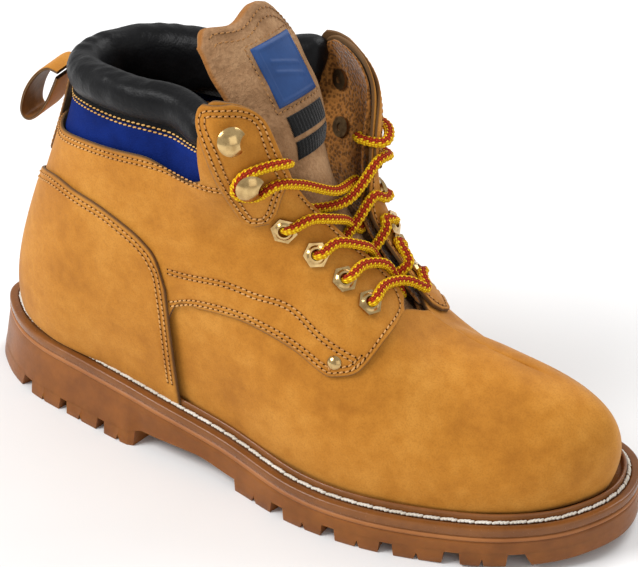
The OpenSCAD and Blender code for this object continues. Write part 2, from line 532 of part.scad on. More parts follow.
// domed speed hook with a crescent notch, on a short post
module hook() {
  z = top_hi;
  translate([0, 0, z + 0.3]) cylinder(d = 7, h = 0.9, $fn = 24);
  translate([0, 0, z + 0.3]) cylinder(d = 3.4, h = 5.4, $fn = 24);
  difference() {
    translate([0, 0, z + 4.6]) intersection() {
      translate([0, 0, -6]) sphere(d = hook_dia + 5.2, $fn = 32);
      cylinder(d = hook_dia, h = 6, $fn = 32);
    }
    translate([hook_dia / 2 + 1, 0, z]) cylinder(d = 8.6, h = 12, $fn = 32);
  }
}
module hooks_lateral() color(c_brass) for (h = HOOKS) on_skin(h[0], h[1], 0, -20) hook();
module hooks_medial() color(c_brass) for (h = HOOKS_IN) on_skin(28 - h[0], h[1], 0, 200) hook();
module hook_backs() {
  color([0.55, 0.42, 0.25])
  for (h = concat(HOOKS, [for (g = HOOKS_IN) [28 - g[0], g[1]]]))
    on_skin(h[0], h[1], in_lo - 1.8 + flap_push(min(h[0], 28 - h[0]), h[1]))
    difference() {
      cylinder(d = 9, h = 1.2, $fn = 32);
      translate([0, 0, -1]) cylinder(d = 3.6, h = 1.6, $fn = 32);
    }
}
module vamp_rivets() {
  color(c_brass)
  for (u = [8.15, 19.85]) on_skin(u, 0.42, qtr_hi + 0.3) intersection() {
    translate([0, 0, -2.6]) sphere(d = 8, $fn = 32);
    cylinder(d = 6.6, h = 3, $fn = 32);
  }
}

// ---------- lace ----------
// route points: [u, v, offset] on the guide surface, outer side; the inner side mirrors u
function lace_pt(side, u, v, off) = skin(sided(u, side), v, off);
// where strands bend over the edge and where they come out from below it, counted up from the top eyelet
LAP_U = [8.6, 9.4, 9.9, 10.25];
UNDER_U = [8.2, 9.1, 9.68, 10.12];
function edge_v(u) = curve(QTR_TOP, u);
function lap(side, k) = lace_pt(side, LAP_U[k], edge_v(LAP_U[k]) + 0.005, qtr_hi + 2.3);
function under(side, k) = lace_pt(side, UNDER_U[k], edge_v(UNDER_U[k]) - 0.01, -5.9);
// over the edge, along the facing and down through eyelet k
function eyelet_pass(side, k) = let (e = EYES[k])
  [lap(side, k),
   lace_pt(side, lerp(e[0], LAP_U[k], 0.5), lerp(e[1], edge_v(LAP_U[k]), 0.5), qtr_hi + 2.9),
   lace_pt(side, lerp(e[0], LAP_U[k], 0.12), e[1] + 0.016, qtr_hi + 3.3),
   lace_pt(side, e[0], e[1] + 0.003, 1.4), lace_pt(side, e[0], e[1] + 0.012, -6.6)];
// from inside eyelet k, out of the gap and over to the opposite edge one eyelet higher
function crossing(side, k) = let (
    e = EYES[k],
    a = under(side, k),
    b = k > 0 ? lap(-side, k - 1) : hook_in(-side))
  [lace_pt(side, lerp(e[0], UNDER_U[k], 0.55), lerp(e[1], edge_v(UNDER_U[k]), 0.55), -6.2), a,
   lerp(a, b, 0.5) + [0, 0, side > 0 ? 1.8 : -1.2] + (k > 0 ? [0, 0, 0] : [3, 0, -5])];
function hook_in(side) = lace_pt(side, 7.75, 0.875, qtr_hi + 2.6);
function hook_turn(side) = let (h = side < 0 ? HOOKS[1] : HOOKS_IN[1], z = top_hi + 2.9)
  [hook_in(side), lace_pt(side, h[0] + 0.55, h[1] - 0.005, z), lace_pt(side, h[0] + 0.05, h[1] - 0.034, z),
   lace_pt(side, h[0] - 0.27, h[1] - 0.004, z), lace_pt(side, h[0] - 0.08, h[1] + 0.033, z),
   lace_pt(side, h[0] + 0.42, h[1] + 0.045, z + 0.6), lace_pt(side, h[0] + 0.86, h[1] + 0.085, z - 0.4),
   lace_pt(side, 7.6, 0.925, -3), lace_pt(side, 7.25, 0.86, -6.8), lace_pt(side, 6.95, 0.80, -7)];
// one half of the lace from the bottom bar upwards, starting on the given side
function strand(s) = concat(eyelet_pass(s, 3), crossing(s, 3), eyelet_pass(-s, 2), crossing(-s, 2),
  eyelet_pass(s, 1), crossing(s, 1), eyelet_pass(-s, 0), crossing(-s, 0), hook_turn(s));
function reversed(P) = [for (i = [len(P) - 1:-1:0]) P[i]];
// round tube through a list of points
function frame_n(C, i) = let (
    d = unit(C[min(i + 1, len(C) - 1)] - C[max(i - 1, 0)]),
    a = abs(d[2]) > 0.8 ? [1, 0, 0] : [0, 0, 1])
  [unit(cross(d, a)), unit(cross(cross(d, a), d))];
module tube(C, r) {
  n = 8;
  m = len(C);
  P = [for (i = [0:m - 1]) let (f = frame_n(C, i)) for (k = [0:n - 1])
    C[i] + r * (cos(k * 45) * f[0] + sin(k * 45) * f[1])];
  polyhedron(points = P, faces = concat(
    halves([for (i = [0:m - 2]) for (k = [0:n - 1])
      [i * n + k, (i + 1) * n + k, (i + 1) * n + (k + 1) % n, i * n + (k + 1) % n]]),
    [[for (k = [0:n - 1]) k]], [[for (k = [n - 1:-1:0]) (m - 1) * n + k]]));
}
LACE_ROUTE = concat(reversed(strand(-1)), [lerp(lap(-1, 3), lap(1, 3), 0.5) + [0, 0, 1.2]], strand(1));
module lace() {
  n = 2 * len(LACE_ROUTE);
  color([0.86, 0.66, 0.12])
  tube([for (i = [0:n]) along(LACE_ROUTE, i * (len(LACE_ROUTE) - 1) / n)], lace_dia / 2);
}

outsole();
midsole();
welt();
welt_stitching();
steel_plate();
filler();
shank();
insole_board();
footbed();
toe_cap();
toe_cap_trim();
heel_stiffener();
vamp();
vamp_lining();
quarter_lateral();
quarter_medial();
quarter_lining();
heel_panel();
backstay();
collar_band();
collar_cover();
collar_foam();
hook_facing_lateral();
hook_facing_medial();
pull_loop();
tongue_base();
tongue_flap();
tongue_patch();
tongue_tabs();
gusset_lateral();
gusset_medial();
eyelets_lateral();
eyelets_medial();
hooks_lateral();
hooks_medial();
hook_backs();
vamp_rivets();
lace();
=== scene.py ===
"""Visual model of the steel toe work boot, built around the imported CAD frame.

Shapes are worked out in millimetres and turned into metres in make().
u runs once round the boot in 28 stations: 0 at the heel, 14 at the toe, below 14 on the outer side.
v runs up from 0 at the welt to 1 near the top edge. Offsets are mm outwards from the guide surface.
"""
import json
import math
import bpy
import bmesh
import numpy as np
from mathutils import Matrix, Vector

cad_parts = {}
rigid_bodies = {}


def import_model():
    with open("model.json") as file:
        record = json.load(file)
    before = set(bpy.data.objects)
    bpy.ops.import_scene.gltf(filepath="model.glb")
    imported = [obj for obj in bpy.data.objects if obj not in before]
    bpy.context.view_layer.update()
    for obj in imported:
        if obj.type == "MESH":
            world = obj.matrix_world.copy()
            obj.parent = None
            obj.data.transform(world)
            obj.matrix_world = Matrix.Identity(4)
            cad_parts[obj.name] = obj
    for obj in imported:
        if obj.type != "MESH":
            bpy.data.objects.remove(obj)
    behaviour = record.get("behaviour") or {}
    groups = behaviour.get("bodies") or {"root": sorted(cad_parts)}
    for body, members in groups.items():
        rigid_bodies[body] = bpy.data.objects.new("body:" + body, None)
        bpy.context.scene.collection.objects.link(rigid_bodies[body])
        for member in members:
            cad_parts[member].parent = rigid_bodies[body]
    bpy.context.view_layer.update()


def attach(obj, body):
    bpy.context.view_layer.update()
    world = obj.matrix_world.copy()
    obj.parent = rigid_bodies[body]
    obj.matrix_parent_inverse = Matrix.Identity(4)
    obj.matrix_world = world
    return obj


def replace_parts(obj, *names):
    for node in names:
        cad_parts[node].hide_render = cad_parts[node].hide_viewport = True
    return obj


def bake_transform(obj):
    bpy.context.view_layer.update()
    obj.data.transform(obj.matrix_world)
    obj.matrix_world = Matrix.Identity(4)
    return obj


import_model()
MM = 0.001
RIB_COUNT = 28
EDGE_COUNT = 22
rng = np.random.default_rng(7)

# ---- camera
CAMERA_TURN = math.radians(30.0)
CAMERA_RISE = math.radians(32.95)
CAMERA_ROLL = math.radians(1.13)
CAMERA_FAR = 1.3812
AIM_HEIGHT = 0.07
cam_data = bpy.data.cameras.new("camera")
cam = bpy.data.objects.new("camera", cam_data)
bpy.context.scene.collection.objects.link(cam)
cam.matrix_world = (
    Matrix.Translation((0, 0, AIM_HEIGHT)) @ Matrix.Rotation(CAMERA_TURN, 4, "Z")
    @ Matrix.Rotation(math.pi / 2 - CAMERA_RISE, 4, "X") @ Matrix.Translation((0, 0, CAMERA_FAR))
    @ Matrix.Rotation(CAMERA_ROLL, 4, "Z"))
cam_data.lens = 179.7
cam_data.sensor_width = 36
cam_data.shift_x = 0.0228
cam_data.shift_y = 0.0418
bpy.context.scene.camera = cam


# ---- curves
def lerp(a, b, t):
    return a + (b - a) * t


def smooth(a, b, x):
    """Rises softly from 0 at a to 1 at b."""
    t = np.clip((np.asarray(x, float) - a) / (b - a), 0, 1)
    return t * t * (3 - 2 * t)


def unit(v):
    return v / np.maximum(np.linalg.norm(v, axis=-1, keepdims=True), 1e-9)


def blend4(a, b, c, d, f):
    """Catmull-Rom step from b to c."""
    return 0.5 * (2 * b + (c - a) * f + (2 * a - 5 * b + 4 * c - d) * f * f
                  + (3 * b - a - 3 * c + d) * f ** 3)


def curve(table, x):
    """Smooth function through a table of (x, y) points."""
    T = np.array(table, float)
    xs, ys = T[:, 0], T[:, 1]
    m = np.empty(len(xs))
    m[0] = (ys[1] - ys[0]) / (xs[1] - xs[0])
    m[-1] = (ys[-1] - ys[-2]) / (xs[-1] - xs[-2])
    m[1:-1] = (ys[2:] - ys[:-2]) / (xs[2:] - xs[:-2])
    x = np.asarray(x, float)
    i = np.clip(np.searchsorted(xs, x) - 1, 0, len(xs) - 2)
    w = xs[i + 1] - xs[i]
    t = np.clip((x - xs[i]) / w, 0, 1)
    return ((2 * t ** 3 - 3 * t ** 2 + 1) * ys[i] + (t ** 3 - 2 * t ** 2 + t) * w * m[i]
            + (3 * t ** 2 - 2 * t ** 3) * ys[i + 1] + (t ** 3 - t ** 2) * w * m[i + 1])


def along(points, t):
    """Point on the smooth line through the given points, where t counts the points."""
    P = np.array(points, float)
    P = np.vstack([2 * P[0] - P[1], P, 2 * P[-1] - P[-2]])
    t = np.asarray(t, float)
    i = np.clip(np.floor(t).astype(int), 0, len(P) - 4)
    f = (t - i)[..., None]
    return blend4(P[i], P[i + 1], P[i + 2], P[i + 3], f)


# ---- sole outline (mm)
EDGE = np.array([
    (-155, 0), (-142.7, -16.9), (-122.9, -28.6), (-93.7, -35.1), (-55.3, -41.4), (-15.1, -44.8),
    (25.2, -54.2), (59.8, -53.9), (93.6, -45.6), (120.6, -34.8), (142.1, -18.1), (154.3, 6.2),
    (150.4, 30.4), (134, 47), (102, 55), (65, 55), (20, 47), (-20, 37), (-60, 36), (-100, 38),
    (-130, 34), (-148, 21)], float)


def edge_pt(t):
    """Point of the sole's edge, with t from 0 at the heel to EDGE_COUNT round the outer side first."""
    t = np.mod(np.asarray(t, float), EDGE_COUNT)
    i = np.floor(t).astype(int)
    f = (t - i)[..., None]
    return blend4(*(EDGE[(i + k) % EDGE_COUNT] for k in (-1, 0, 1, 2)), f)


def outline(t, d):
    """Sole edge moved d mm outwards."""
    t = np.asarray(t, float)
    e = unit(edge_pt(t + 0.2) - edge_pt(t - 0.2))
    n = np.stack([e[..., 1], -e[..., 0]], -1)
    return edge_pt(t) + np.asarray(d, float)[..., None] * n


def ground(x):
    """Height of the sole's underside, which springs up at the toe."""
    return 6 * np.clip((np.asarray(x, float) - 70) / 85, 0, 1.2) ** 2


WELT_TOP = [
    (-160, 30.7), (-90, 30.2), (-60, 28.7), (-10, 22.2), (35, 18.9), (75, 18.9), (160, 18.9)]


def welt_top(x):
    return curve(WELT_TOP, x) + ground(x)


def tread_roof(x):
    """Height of the gaps between the lugs."""
    return ground(x) + 6 + 3 * smooth(-66, -58, x) * (1 - smooth(-30, -8, x))


# ---- guide surface of the upper (mm)
# foot point, lower handle, upper handle (forward, outward, up), top point
OUTER = [
    ((-142, 1, 36), (-6, 0, 30), (-6, 0, -45), (-112, 1, 166)),
    ((-134, -15, 36), (-5, 4, 30), (-5, 2, -45), (-105, -17, 168)),
    ((-112, -26, 35), (-2, 7, 30), (-2, 3, -45), (-92, -27, 171)),
    ((-82, -29, 33), (0, 9, 30), (0, 3, -45), (-74, -33, 173)),
    ((-48, -33, 29), (0, 8, 32), (0, 2, -45), (-56, -35, 175)),
    ((-16, -37, 26), (0, 8, 34), (2, 4, -45), (-38, -33, 176)),
    ((10, -43, 24.5), (-2, 8, 36), (6, 7, -40), (-20, -22, 178)),
    ((32, -46.5, 23), (-4, 8, 36), (6, 22, -30), (-5, 0, 176)),
    ((54, -46.5, 23), (-4, 7, 34), (4, 24, -20), (6, 0, 150)),
    ((76, -42.5, 23.5), (-3, 7, 32), (2, 24, -12), (20, 0, 128)),
    ((97, -36.5, 24.5), (-2, 7, 30), (2, 24, -8), (38, 3, 106)),
    ((115, -29, 26), (1, 7, 27), (3, 25, -2), (58, 6, 86.5)),
    ((129, -20, 27.5), (4, 7, 26), (8, 28, -1), (77, 7, 79)),
    ((140, -7, 28.5), (7, 5, 27), (26, 22, 0), (93, 7, 76)),
    ((146, 8, 29), (8, 0, 28), (40, 1, -0.5), (104, 8, 73.5))]
INNER = [
    ((-134, 16, 36), (-5, 4, 30), (-5, 2, -45), (-105, 19, 166)),
    ((-112, 28, 35), (-2, 7, 30), (-2, 3, -45), (-92, 29, 167)),
    ((-82, 29, 33), (0, 10, 30), (0, 3, -45), (-74, 34, 168)),
    ((-48, 26, 29), (0, 12, 32), (0, 2, -45), (-56, 36, 169)),
    ((-16, 29, 26), (0, 12, 34), (2, 4, -45), (-37, 34, 172)),
    ((10, 36, 24.5), (-2, 10, 36), (6, 7, -40), (-16, 23, 178)),
    ((34, 43, 23), (-4, 6, 36), (5, 11, -36), (7, 9, 178)),
    ((56, 46, 23), (-4, 1, 32), (4, 9, -33), (14, 8, 156)),
    ((78, 46.5, 23.5), (-3, 0, 28), (2, 8, -29), (21, 7, 132)),
    ((98, 46, 24.5), (-2, -1, 24), (2, 8, -22), (38, 7, 108.5)),
    ((116, 43.5, 26), (1, 1, 21), (3, 11, -9), (58, 6, 86.5)),
    ((131, 36, 27.5), (4, 4, 22), (8, 15, -4), (77, 7, 79)),
    ((142, 23, 28.5), (7, 4, 25), (24, 13, -1.5), (93, 7, 76))]


def handles(s, side):
    foot, low, high, top = (np.array(p, float) for p in s)
    low[1] *= side
    high[1] *= side
    return np.array([foot, foot + low, top + high, top])


# mm that each flap beside the tongue stands out at the top
FLAP_OPEN = 24
RIBS = np.array([handles(s, -1) for s in OUTER] + [handles(s, 1) for s in INNER[::-1]])


def skin0(u, v):
    """Point of the guide surface."""
    u, v = np.broadcast_arrays(np.asarray(u, float), np.asarray(v, float))
    uu = np.mod(u, RIB_COUNT)
    i = np.floor(uu).astype(int)
    f = (uu - i)[..., None, None]
    r = blend4(*(RIBS[(i + k) % RIB_COUNT] for k in (-1, 0, 1, 2)), f)
    v = v[..., None]
    w = 1 - v
    p = (w ** 3 * r[..., 0, :] + 3 * w * w * v * r[..., 1, :] + 3 * w * v * v * r[..., 2, :]
         + v ** 3 * r[..., 3, :])
    k = smooth(118, 172, p[..., 2]) * smooth(-48, -12, p[..., 0])
    p[..., 1] += np.where(uu <= RIB_COUNT / 2, -1, 1) * FLAP_OPEN * k
    return p


def skin_out(u, v):
    """Outward normal of the guide surface."""
    vc = np.minimum(v, 0.96)
    e = 0.04
    return unit(np.cross(skin0(u + e, vc) - skin0(u - e, vc), skin0(u, vc + e) - skin0(u, vc - e)))


def skin(u, v, off):
    """Point at off mm outside the guide surface."""
    u, v = np.broadcast_arrays(np.asarray(u, float), np.asarray(v, float))
    return skin0(u, v) + np.asarray(off, float)[..., None] * skin_out(u, v)


# inner and outer face of each layer, in mm off the guide surface
IN_LO, IN_HI = -3.2, -2.2
VAMP_LO, VAMP_HI = -1.7, 0.0
QTR_LO, QTR_HI = 0.4, 2.1
TOP_LO, TOP_HI = 2.5, 4.0


# ---- mesh helpers
def make(name, verts, faces, body, mat, attrs=None, merge=0.0):
    """New smooth object from points in mm, riding on a body unless body is None."""
    me = bpy.data.meshes.new(name)
    me.from_pydata([tuple(p) for p in np.asarray(verts, float) * MM], [], [tuple(f) for f in faces])
    for key, values in (attrs or {}).items():
        at = me.attributes.new(key, "FLOAT", "POINT")
        at.data.foreach_set("value", np.asarray(values, np.float32))
    if merge:
        bm = bmesh.new()
        bm.from_mesh(me)
        bmesh.ops.remove_doubles(bm, verts=bm.verts, dist=merge * MM)
        bm.to_mesh(me)
        bm.free()
    me.polygons.foreach_set("use_smooth", [True] * len(me.polygons))
    me.update()
    ob = bpy.data.objects.new(name, me)
    bpy.context.scene.collection.objects.link(ob)
    me.materials.append(mat)
    if body:
        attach(ob, body)
    return ob


def places(me):
    """Vertices of a mesh as an array of points."""
    P = np.empty(len(me.vertices) * 3)
    me.vertices.foreach_get("co", P)
    return P.reshape(-1, 3)


def move_to(me, P):
    me.vertices.foreach_set("co", P.reshape(-1))
    me.update()


def grid_faces(ni, nj, base=0, wrap_i=False, wrap_j=False, flip=False):
    """Four-sided faces of a grid of ni x nj points, stored row by row from number base."""
    I = np.arange(ni if wrap_i else ni - 1)
    J = np.arange(nj if wrap_j else nj - 1)
    i, j = np.meshgrid(I, J, indexing="ij")
    i2, j2 = (i + 1) % ni, (j + 1) % nj
    q = np.stack([i * nj + j, i2 * nj + j, i2 * nj + j2, i * nj + j2], -1).reshape(-1, 4)
    if flip:
        q = q[:, ::-1]
    return (q + base).tolist()


def rim_faces(ni, nj, flip=False):
    """Strip that joins the borders of two grids of ni x nj points, the second stored after the first."""
    q = ni * nj
    ids = ([i * nj for i in range(ni)] + [(ni - 1) * nj + j for j in range(1, nj)]
           + [i * nj + nj - 1 for i in range(ni - 2, -1, -1)] + [j for j in range(nj - 2, 0, -1)])
    pairs = zip(ids, ids[1:] + ids[:1])
    return [[b, a, a + q, b + q] if flip else [a, b, b + q, a + q] for a, b in pairs]


def from_border(*sizes):
    """How many rows each point of a grid is away from the grid's border."""
    near_end = [np.minimum(np.arange(n), np.arange(n)[::-1]) for n in sizes]
    return np.minimum(near_end[0][:, None], near_end[1][None, :])


def ease(n, length, rim):
    """Even steps from 0 to 1 with two extra close rows at each end for a rounded edge."""
    e = min(rim / max(length, 1), 0.08)
    core = np.linspace(2.4 * e, 1 - 2.4 * e, n)
    return np.concatenate([[0, e], core, [1 - e, 1]])


def inset_rows(u, v, dist):
    """Moves a closed or open line on the guide surface sideways (to its left) by dist mm."""
    P = skin0(u, v)
    T = unit(np.gradient(P, axis=0))
    D = np.cross(skin_out(u, v), T)
    e = 0.01
    Ju = (skin0(u + e, v) - skin0(u - e, v)) / (2 * e)
    Jv = (skin0(u, v + e) - skin0(u, v - e)) / (2 * e)
    a = (Ju * Ju).sum(-1)
    b = (Ju * Jv).sum(-1)
    c = (Jv * Jv).sum(-1)
    p = (Ju * D).sum(-1) * dist
    q = (Jv * D).sum(-1) * dist
    det = a * c - b * b
    return u + (c * p - b * q) / det, v + (a * q - b * p) / det


def even(P, step):
    """Points every step mm along a line; columns after the third are carried along."""
    d = np.concatenate([[0], np.cumsum(np.linalg.norm(np.diff(P, axis=0), axis=1))])
    n = max(2, int(d[-1] / step))
    s = np.linspace(0, d[-1], n + 1)
    return np.stack([np.interp(s, d, P[:, k]) for k in range(P.shape[1])], -1)


def capsules(centres, tang, normal, length, width, height, rings=5, sides=7):
    """Many small rounded lumps in one go: returns vertices and faces."""
    a = np.linspace(0, math.pi, rings)
    rad = np.sqrt(np.maximum(np.sin(a), 0.02))
    zz = -np.cos(a)
    th = np.linspace(0, 2 * math.pi, sides, endpoint=False)
    side = np.cross(normal, tang)
    V = np.stack([
        centres + tang * (z * length / 2) + side * (math.cos(t) * r * width / 2)
        + normal * (math.sin(t) * r * height / 2) for z, r in zip(zz, rad) for t in th], 1)
    n = rings * sides
    f = np.array(grid_faces(rings, sides, wrap_j=True))
    F = (f[None] + (np.arange(len(centres)) * n)[:, None, None]).reshape(-1, 4)
    return V.reshape(-1, 3), F.tolist()


class Heap:
    """Collects loose meshes into one."""

    def __init__(self):
        self.verts, self.faces, self.count = [], [], 0

    def add(self, V, F):
        self.verts.append(V)
        self.faces += [[i + self.count for i in f] for f in F]
        self.count += len(V)

    def build(self, name, body, mat):
        return make(name, np.vstack(self.verts), self.faces, body, mat)


STITCH_PITCH = 2.6
STITCH_SIZE = (1.95, 0.8, 0.65)
STITCH_LIFT = 0.08
STITCH_TILT = 0.2
HOLE_DEPTH = 0.3


class Rows:
    """Collects stitch rows and, for one thread colour, the dark dots of painted shade that stand for their
    needle holes.
    """

    def __init__(self):
        self.stitches, self.holes = Heap(), Heap()

    def add(self, P, N, hole=0.8):
        """Adds stitches along a dense line P with normals N, and at each end of each a dark dot of painted
        shade for the needle hole.
        """
        Q = even(np.hstack([P, N]), STITCH_PITCH)
        C = (Q[1:, :3] + Q[:-1, :3]) / 2
        T = unit(Q[1:, :3] - Q[:-1, :3])
        up_way = unit((Q[1:, 3:] + Q[:-1, 3:]) / 2)
        T = unit(T + np.cross(up_way, T) * STITCH_TILT)
        self.stitches.add(*capsules(C + up_way * STITCH_LIFT, T, up_way, *STITCH_SIZE))
        # dark dots of painted shade where the needle holes are
        H = Q[:, :3]
        T = unit(np.gradient(H, axis=0))
        self.holes.add(*capsules(H, T, unit(Q[:, 3:]), hole, hole, HOLE_DEPTH, rings=4, sides=6))

    def build(self, name, mat, body="boot"):
        self.stitches.build(name, body, mat)
        self.holes.build(name + "_holes", body, HOLE_SHADE)


# width of a cut edge's rounding, mm by which the edge and the row beside it drop, depth of a stitch groove
CUT_ROUND = 0.55
EDGE_DROP = 0.55
EDGE_DROP_NEXT = 0.14
GROOVE_DEPTH = 0.32


def near(P, pts, width):
    """1 where a point of P is on one of pts, falling off to 0 over about width mm."""
    out = np.full(len(P), 1e9)
    for k in range(0, len(pts), 64):
        d = ((P[:, None, :] - pts[None, k:k + 64, :]) ** 2).sum(-1).min(1)
        out = np.minimum(out, d)
    return np.exp(-out / width ** 2)


def panel(node_name, uv, steps, size, lo, hi, mat, grooves=(), flip=False, merge=0.0, wave=None,
          ridge=False, fray=0.0, push=None, name=None):
    """Sheet on the guide surface from lo to hi mm off it, with rounded cut edges and sunk stitch lines.

    uv(s, t) gives the place on the guide surface, and size is the sheet's rough size in mm. merge closes
    a joint, wave and push move the faces, ridge keeps the tongue side joined, and fray roughens the cut.
    """
    s, t = np.meshgrid(ease(steps[0], size[0], CUT_ROUND), ease(steps[1], size[1], CUT_ROUND), indexing="ij")
    u, v = uv(s, t)
    if push is not None:
        lo, hi = lo + push(u, v), hi + push(u, v)
    d = from_border(*s.shape)
    drop = np.select([d == 0, d == 1], [EDGE_DROP, EDGE_DROP_NEXT], 0.0)
    n = skin_out(u, v)
    if ridge:
        joined = (u > 10.95) & (u < 17.05)
        drop = np.where(joined, 0.0, drop)
        k = (smooth(0.93, 1.0, v) * joined)[..., None]
        n = unit(n + k * skin_out(RIB_COUNT - u, v))
    base = skin0(u, v)
    off = hi - drop
    P = base + off[..., None] * n
    if len(grooves):
        off = off - GROOVE_DEPTH * near(P.reshape(-1, 3), np.vstack(grooves), 1.0).reshape(s.shape)
    if wave is not None:
        off = off + wave(v, P) * np.minimum(d, 4) / 4
    if fray:
        jit = (rng.normal(0, fray, s.shape) * (d == 0))[..., None]
        base = base + jit * unit(np.gradient(base, axis=1)) + jit * unit(np.gradient(base, axis=0))
    A = base + off[..., None] * n
    B = base + np.broadcast_to(lo, s.shape)[..., None] * n
    ni, nj = s.shape
    q = ni * nj
    F = grid_faces(ni, nj)
    F += grid_faces(ni, nj, q, flip=True)
    F += rim_faces(ni, nj, flip=True)
    if flip:
        F = [f[::-1] for f in F]
    edge = np.concatenate([np.clip(drop.reshape(-1) / EDGE_DROP, 0, 1), np.ones(q)])
    ob = make(name or node_name + "_mesh", np.vstack([A.reshape(-1, 3), B.reshape(-1, 3)]), F, "boot", mat,
              attrs={"edge": edge}, merge=merge)
    if not name:
        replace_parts(ob, node_name)


# ---- materials
def new_mat(name):
    m = bpy.data.materials.new(name)
    m.use_nodes = True
    nt = m.node_tree
    return m, nt, nt.nodes["Principled BSDF"]


def dial(shader, **values):
    """Sets sockets by name, with _ for a space."""
    for key, value in values.items():
        shader.inputs[key.replace("_", " ")].default_value = value


def ramp(nt, fac, stops):
    r = nt.nodes.new("ShaderNodeValToRGB")
    while len(r.color_ramp.elements) < len(stops):
        r.color_ramp.elements.new(0.5)
    for e, (pos, col) in zip(r.color_ramp.elements, stops):
        e.position = pos
        e.color = (*col, 1) if len(col) == 3 else (col[0], col[0], col[0], 1)
    nt.links.new(fac, r.inputs[0])
    return r.outputs[0]


def noise(nt, vec, scale, detail=4, rough=0.6):
    n = nt.nodes.new("ShaderNodeTexNoise")
    dial(n, Scale=scale, Detail=detail, Roughness=rough)
    nt.links.new(vec, n.inputs["Vector"])
    return n.outputs["Fac"]


def coords(nt):
    """Place on the object, in metres."""
    return nt.nodes.new("ShaderNodeTexCoord").outputs["Object"]


def feed(nt, sockets, values):
    """Links or sets each socket, depending on what its value is."""
    for sock, val in zip(sockets, values):
        if isinstance(val, (int, float)):
            sock.default_value = val
        elif isinstance(val, tuple):
            sock.default_value = (*val, 1)
        else:
            nt.links.new(val, sock)


def mix(nt, fac, a, b):
    n = nt.nodes.new("ShaderNodeMix")
    n.data_type = "RGBA"
    feed(nt, (n.inputs[0], n.inputs[6], n.inputs[7]), (fac, a, b))
    return n.outputs[2]


def maths(nt, op, a, b=0.0):
    n = nt.nodes.new("ShaderNodeMath")
    n.operation = op
    feed(nt, n.inputs[:2], (a, b))
    return n.outputs[0]


def bump(nt, bsdf, height, dist, strength, prev=None):
    b = nt.nodes.new("ShaderNodeBump")
    dial(b, Distance=dist, Strength=strength)
    nt.links.new(height, b.inputs["Height"])
    if prev is not None:
        nt.links.new(prev, b.inputs["Normal"])
    nt.links.new(b.outputs[0], bsdf.inputs["Normal"])
    return b.outputs[0]


def attr(nt, name):
    """Value that make() stored on the points."""
    n = nt.nodes.new("ShaderNodeAttribute")
    n.attribute_name = name
    return n.outputs["Fac"]


def leather(name, dark, mid, light, edge=(0.13, 0.065, 0.025), rough=0.62, grain=1400, depth=0.00012,
            sheen=0.06, mottle=38, use_edge=True, spec=0.12):
    """Mottled leather with a fine grain, and its own colour where it is cut."""
    m, nt, b = new_mat(name)
    c = coords(nt)
    big = noise(nt, c, mottle, 5)
    mid_n = noise(nt, c, mottle * 6)
    fac = maths(nt, "ADD", maths(nt, "MULTIPLY", big, 0.7), maths(nt, "MULTIPLY", mid_n, 0.3))
    col = ramp(nt, fac, [(0.36, dark), (0.5, mid), (0.64, light)])
    fine = noise(nt, c, grain, 3)
    pores = ramp(nt, fine, [(0.35, (1,)), (0.55, (0,))])
    col = mix(nt, maths(nt, "MULTIPLY", pores, 0.22), col, tuple(x * 0.55 for x in dark))
    if use_edge:
        col = mix(nt, attr(nt, "edge"), col, edge)
    nt.links.new(col, b.inputs["Base Color"])
    dial(b, Roughness=rough, Specular_IOR_Level=spec, Sheen_Weight=sheen, Sheen_Roughness=0.5,
         Sheen_Tint=(1.0, 0.8, 0.5, 1))
    first = bump(nt, b, fine, depth, 0.6)
    bump(nt, b, mid_n, depth * 6, 0.35, first)
    return m


def rubber(name, base, dark, rough=0.5, sub=0.0):
    """Moulded rubber with uneven gloss."""
    m, nt, b = new_mat(name)
    c = coords(nt)
    nt.links.new(ramp(nt, noise(nt, c, 60), [(0.35, dark), (0.65, base)]), b.inputs["Base Color"])
    fine = noise(nt, c, 900, 3, 0.5)
    nt.links.new(maths(nt, "ADD", maths(nt, "MULTIPLY", fine, 0.2), rough - 0.1), b.inputs["Roughness"])
    if sub:
        dial(b, Subsurface_Weight=sub, Subsurface_Radius=(0.004, 0.0015, 0.0006), Subsurface_Scale=1.0)
    dial(b, Specular_IOR_Level=0.3)
    bump(nt, b, fine, 0.0001, 0.5)
    return m


def metal(name, base, dark, rough):
    """Plated metal with small dents and stains."""
    m, nt, b = new_mat(name)
    c = coords(nt)
    nt.links.new(ramp(nt, noise(nt, c, 260), [(0.35, dark), (0.6, base)]), b.inputs["Base Color"])
    dial(b, Metallic=1.0)
    gloss = maths(nt, "MULTIPLY", noise(nt, c, 900, 3), 0.16)
    nt.links.new(maths(nt, "ADD", gloss, rough - 0.06), b.inputs["Roughness"])
    bump(nt, b, noise(nt, c, 420, 3), 0.00008, 0.4)
    return m


def cloth(name, base, dark, scale, rough=0.85, depth=0.00025, sheen=0.3, net=False):
    """Woven or twisted fabric; net adds dark openings between the yarns."""
    m, nt, b = new_mat(name)
    c = coords(nt)
    cells = nt.nodes.new("ShaderNodeTexVoronoi")
    dial(cells, Scale=scale)
    nt.links.new(c, cells.inputs["Vector"])
    d = cells.outputs["Distance"]
    col = ramp(nt, noise(nt, c, 45), [(0.35, dark), (0.65, base)])
    if net:
        col = mix(nt, ramp(nt, d, [(0.34, (0.75,)), (0.6, (0,))]), col, tuple(x * 0.3 for x in dark))
    nt.links.new(col, b.inputs["Base Color"])
    dial(b, Roughness=rough, Sheen_Weight=sheen, Sheen_Roughness=0.4, Specular_IOR_Level=0.08)
    bump(nt, b, d, depth, 0.8)
    return m


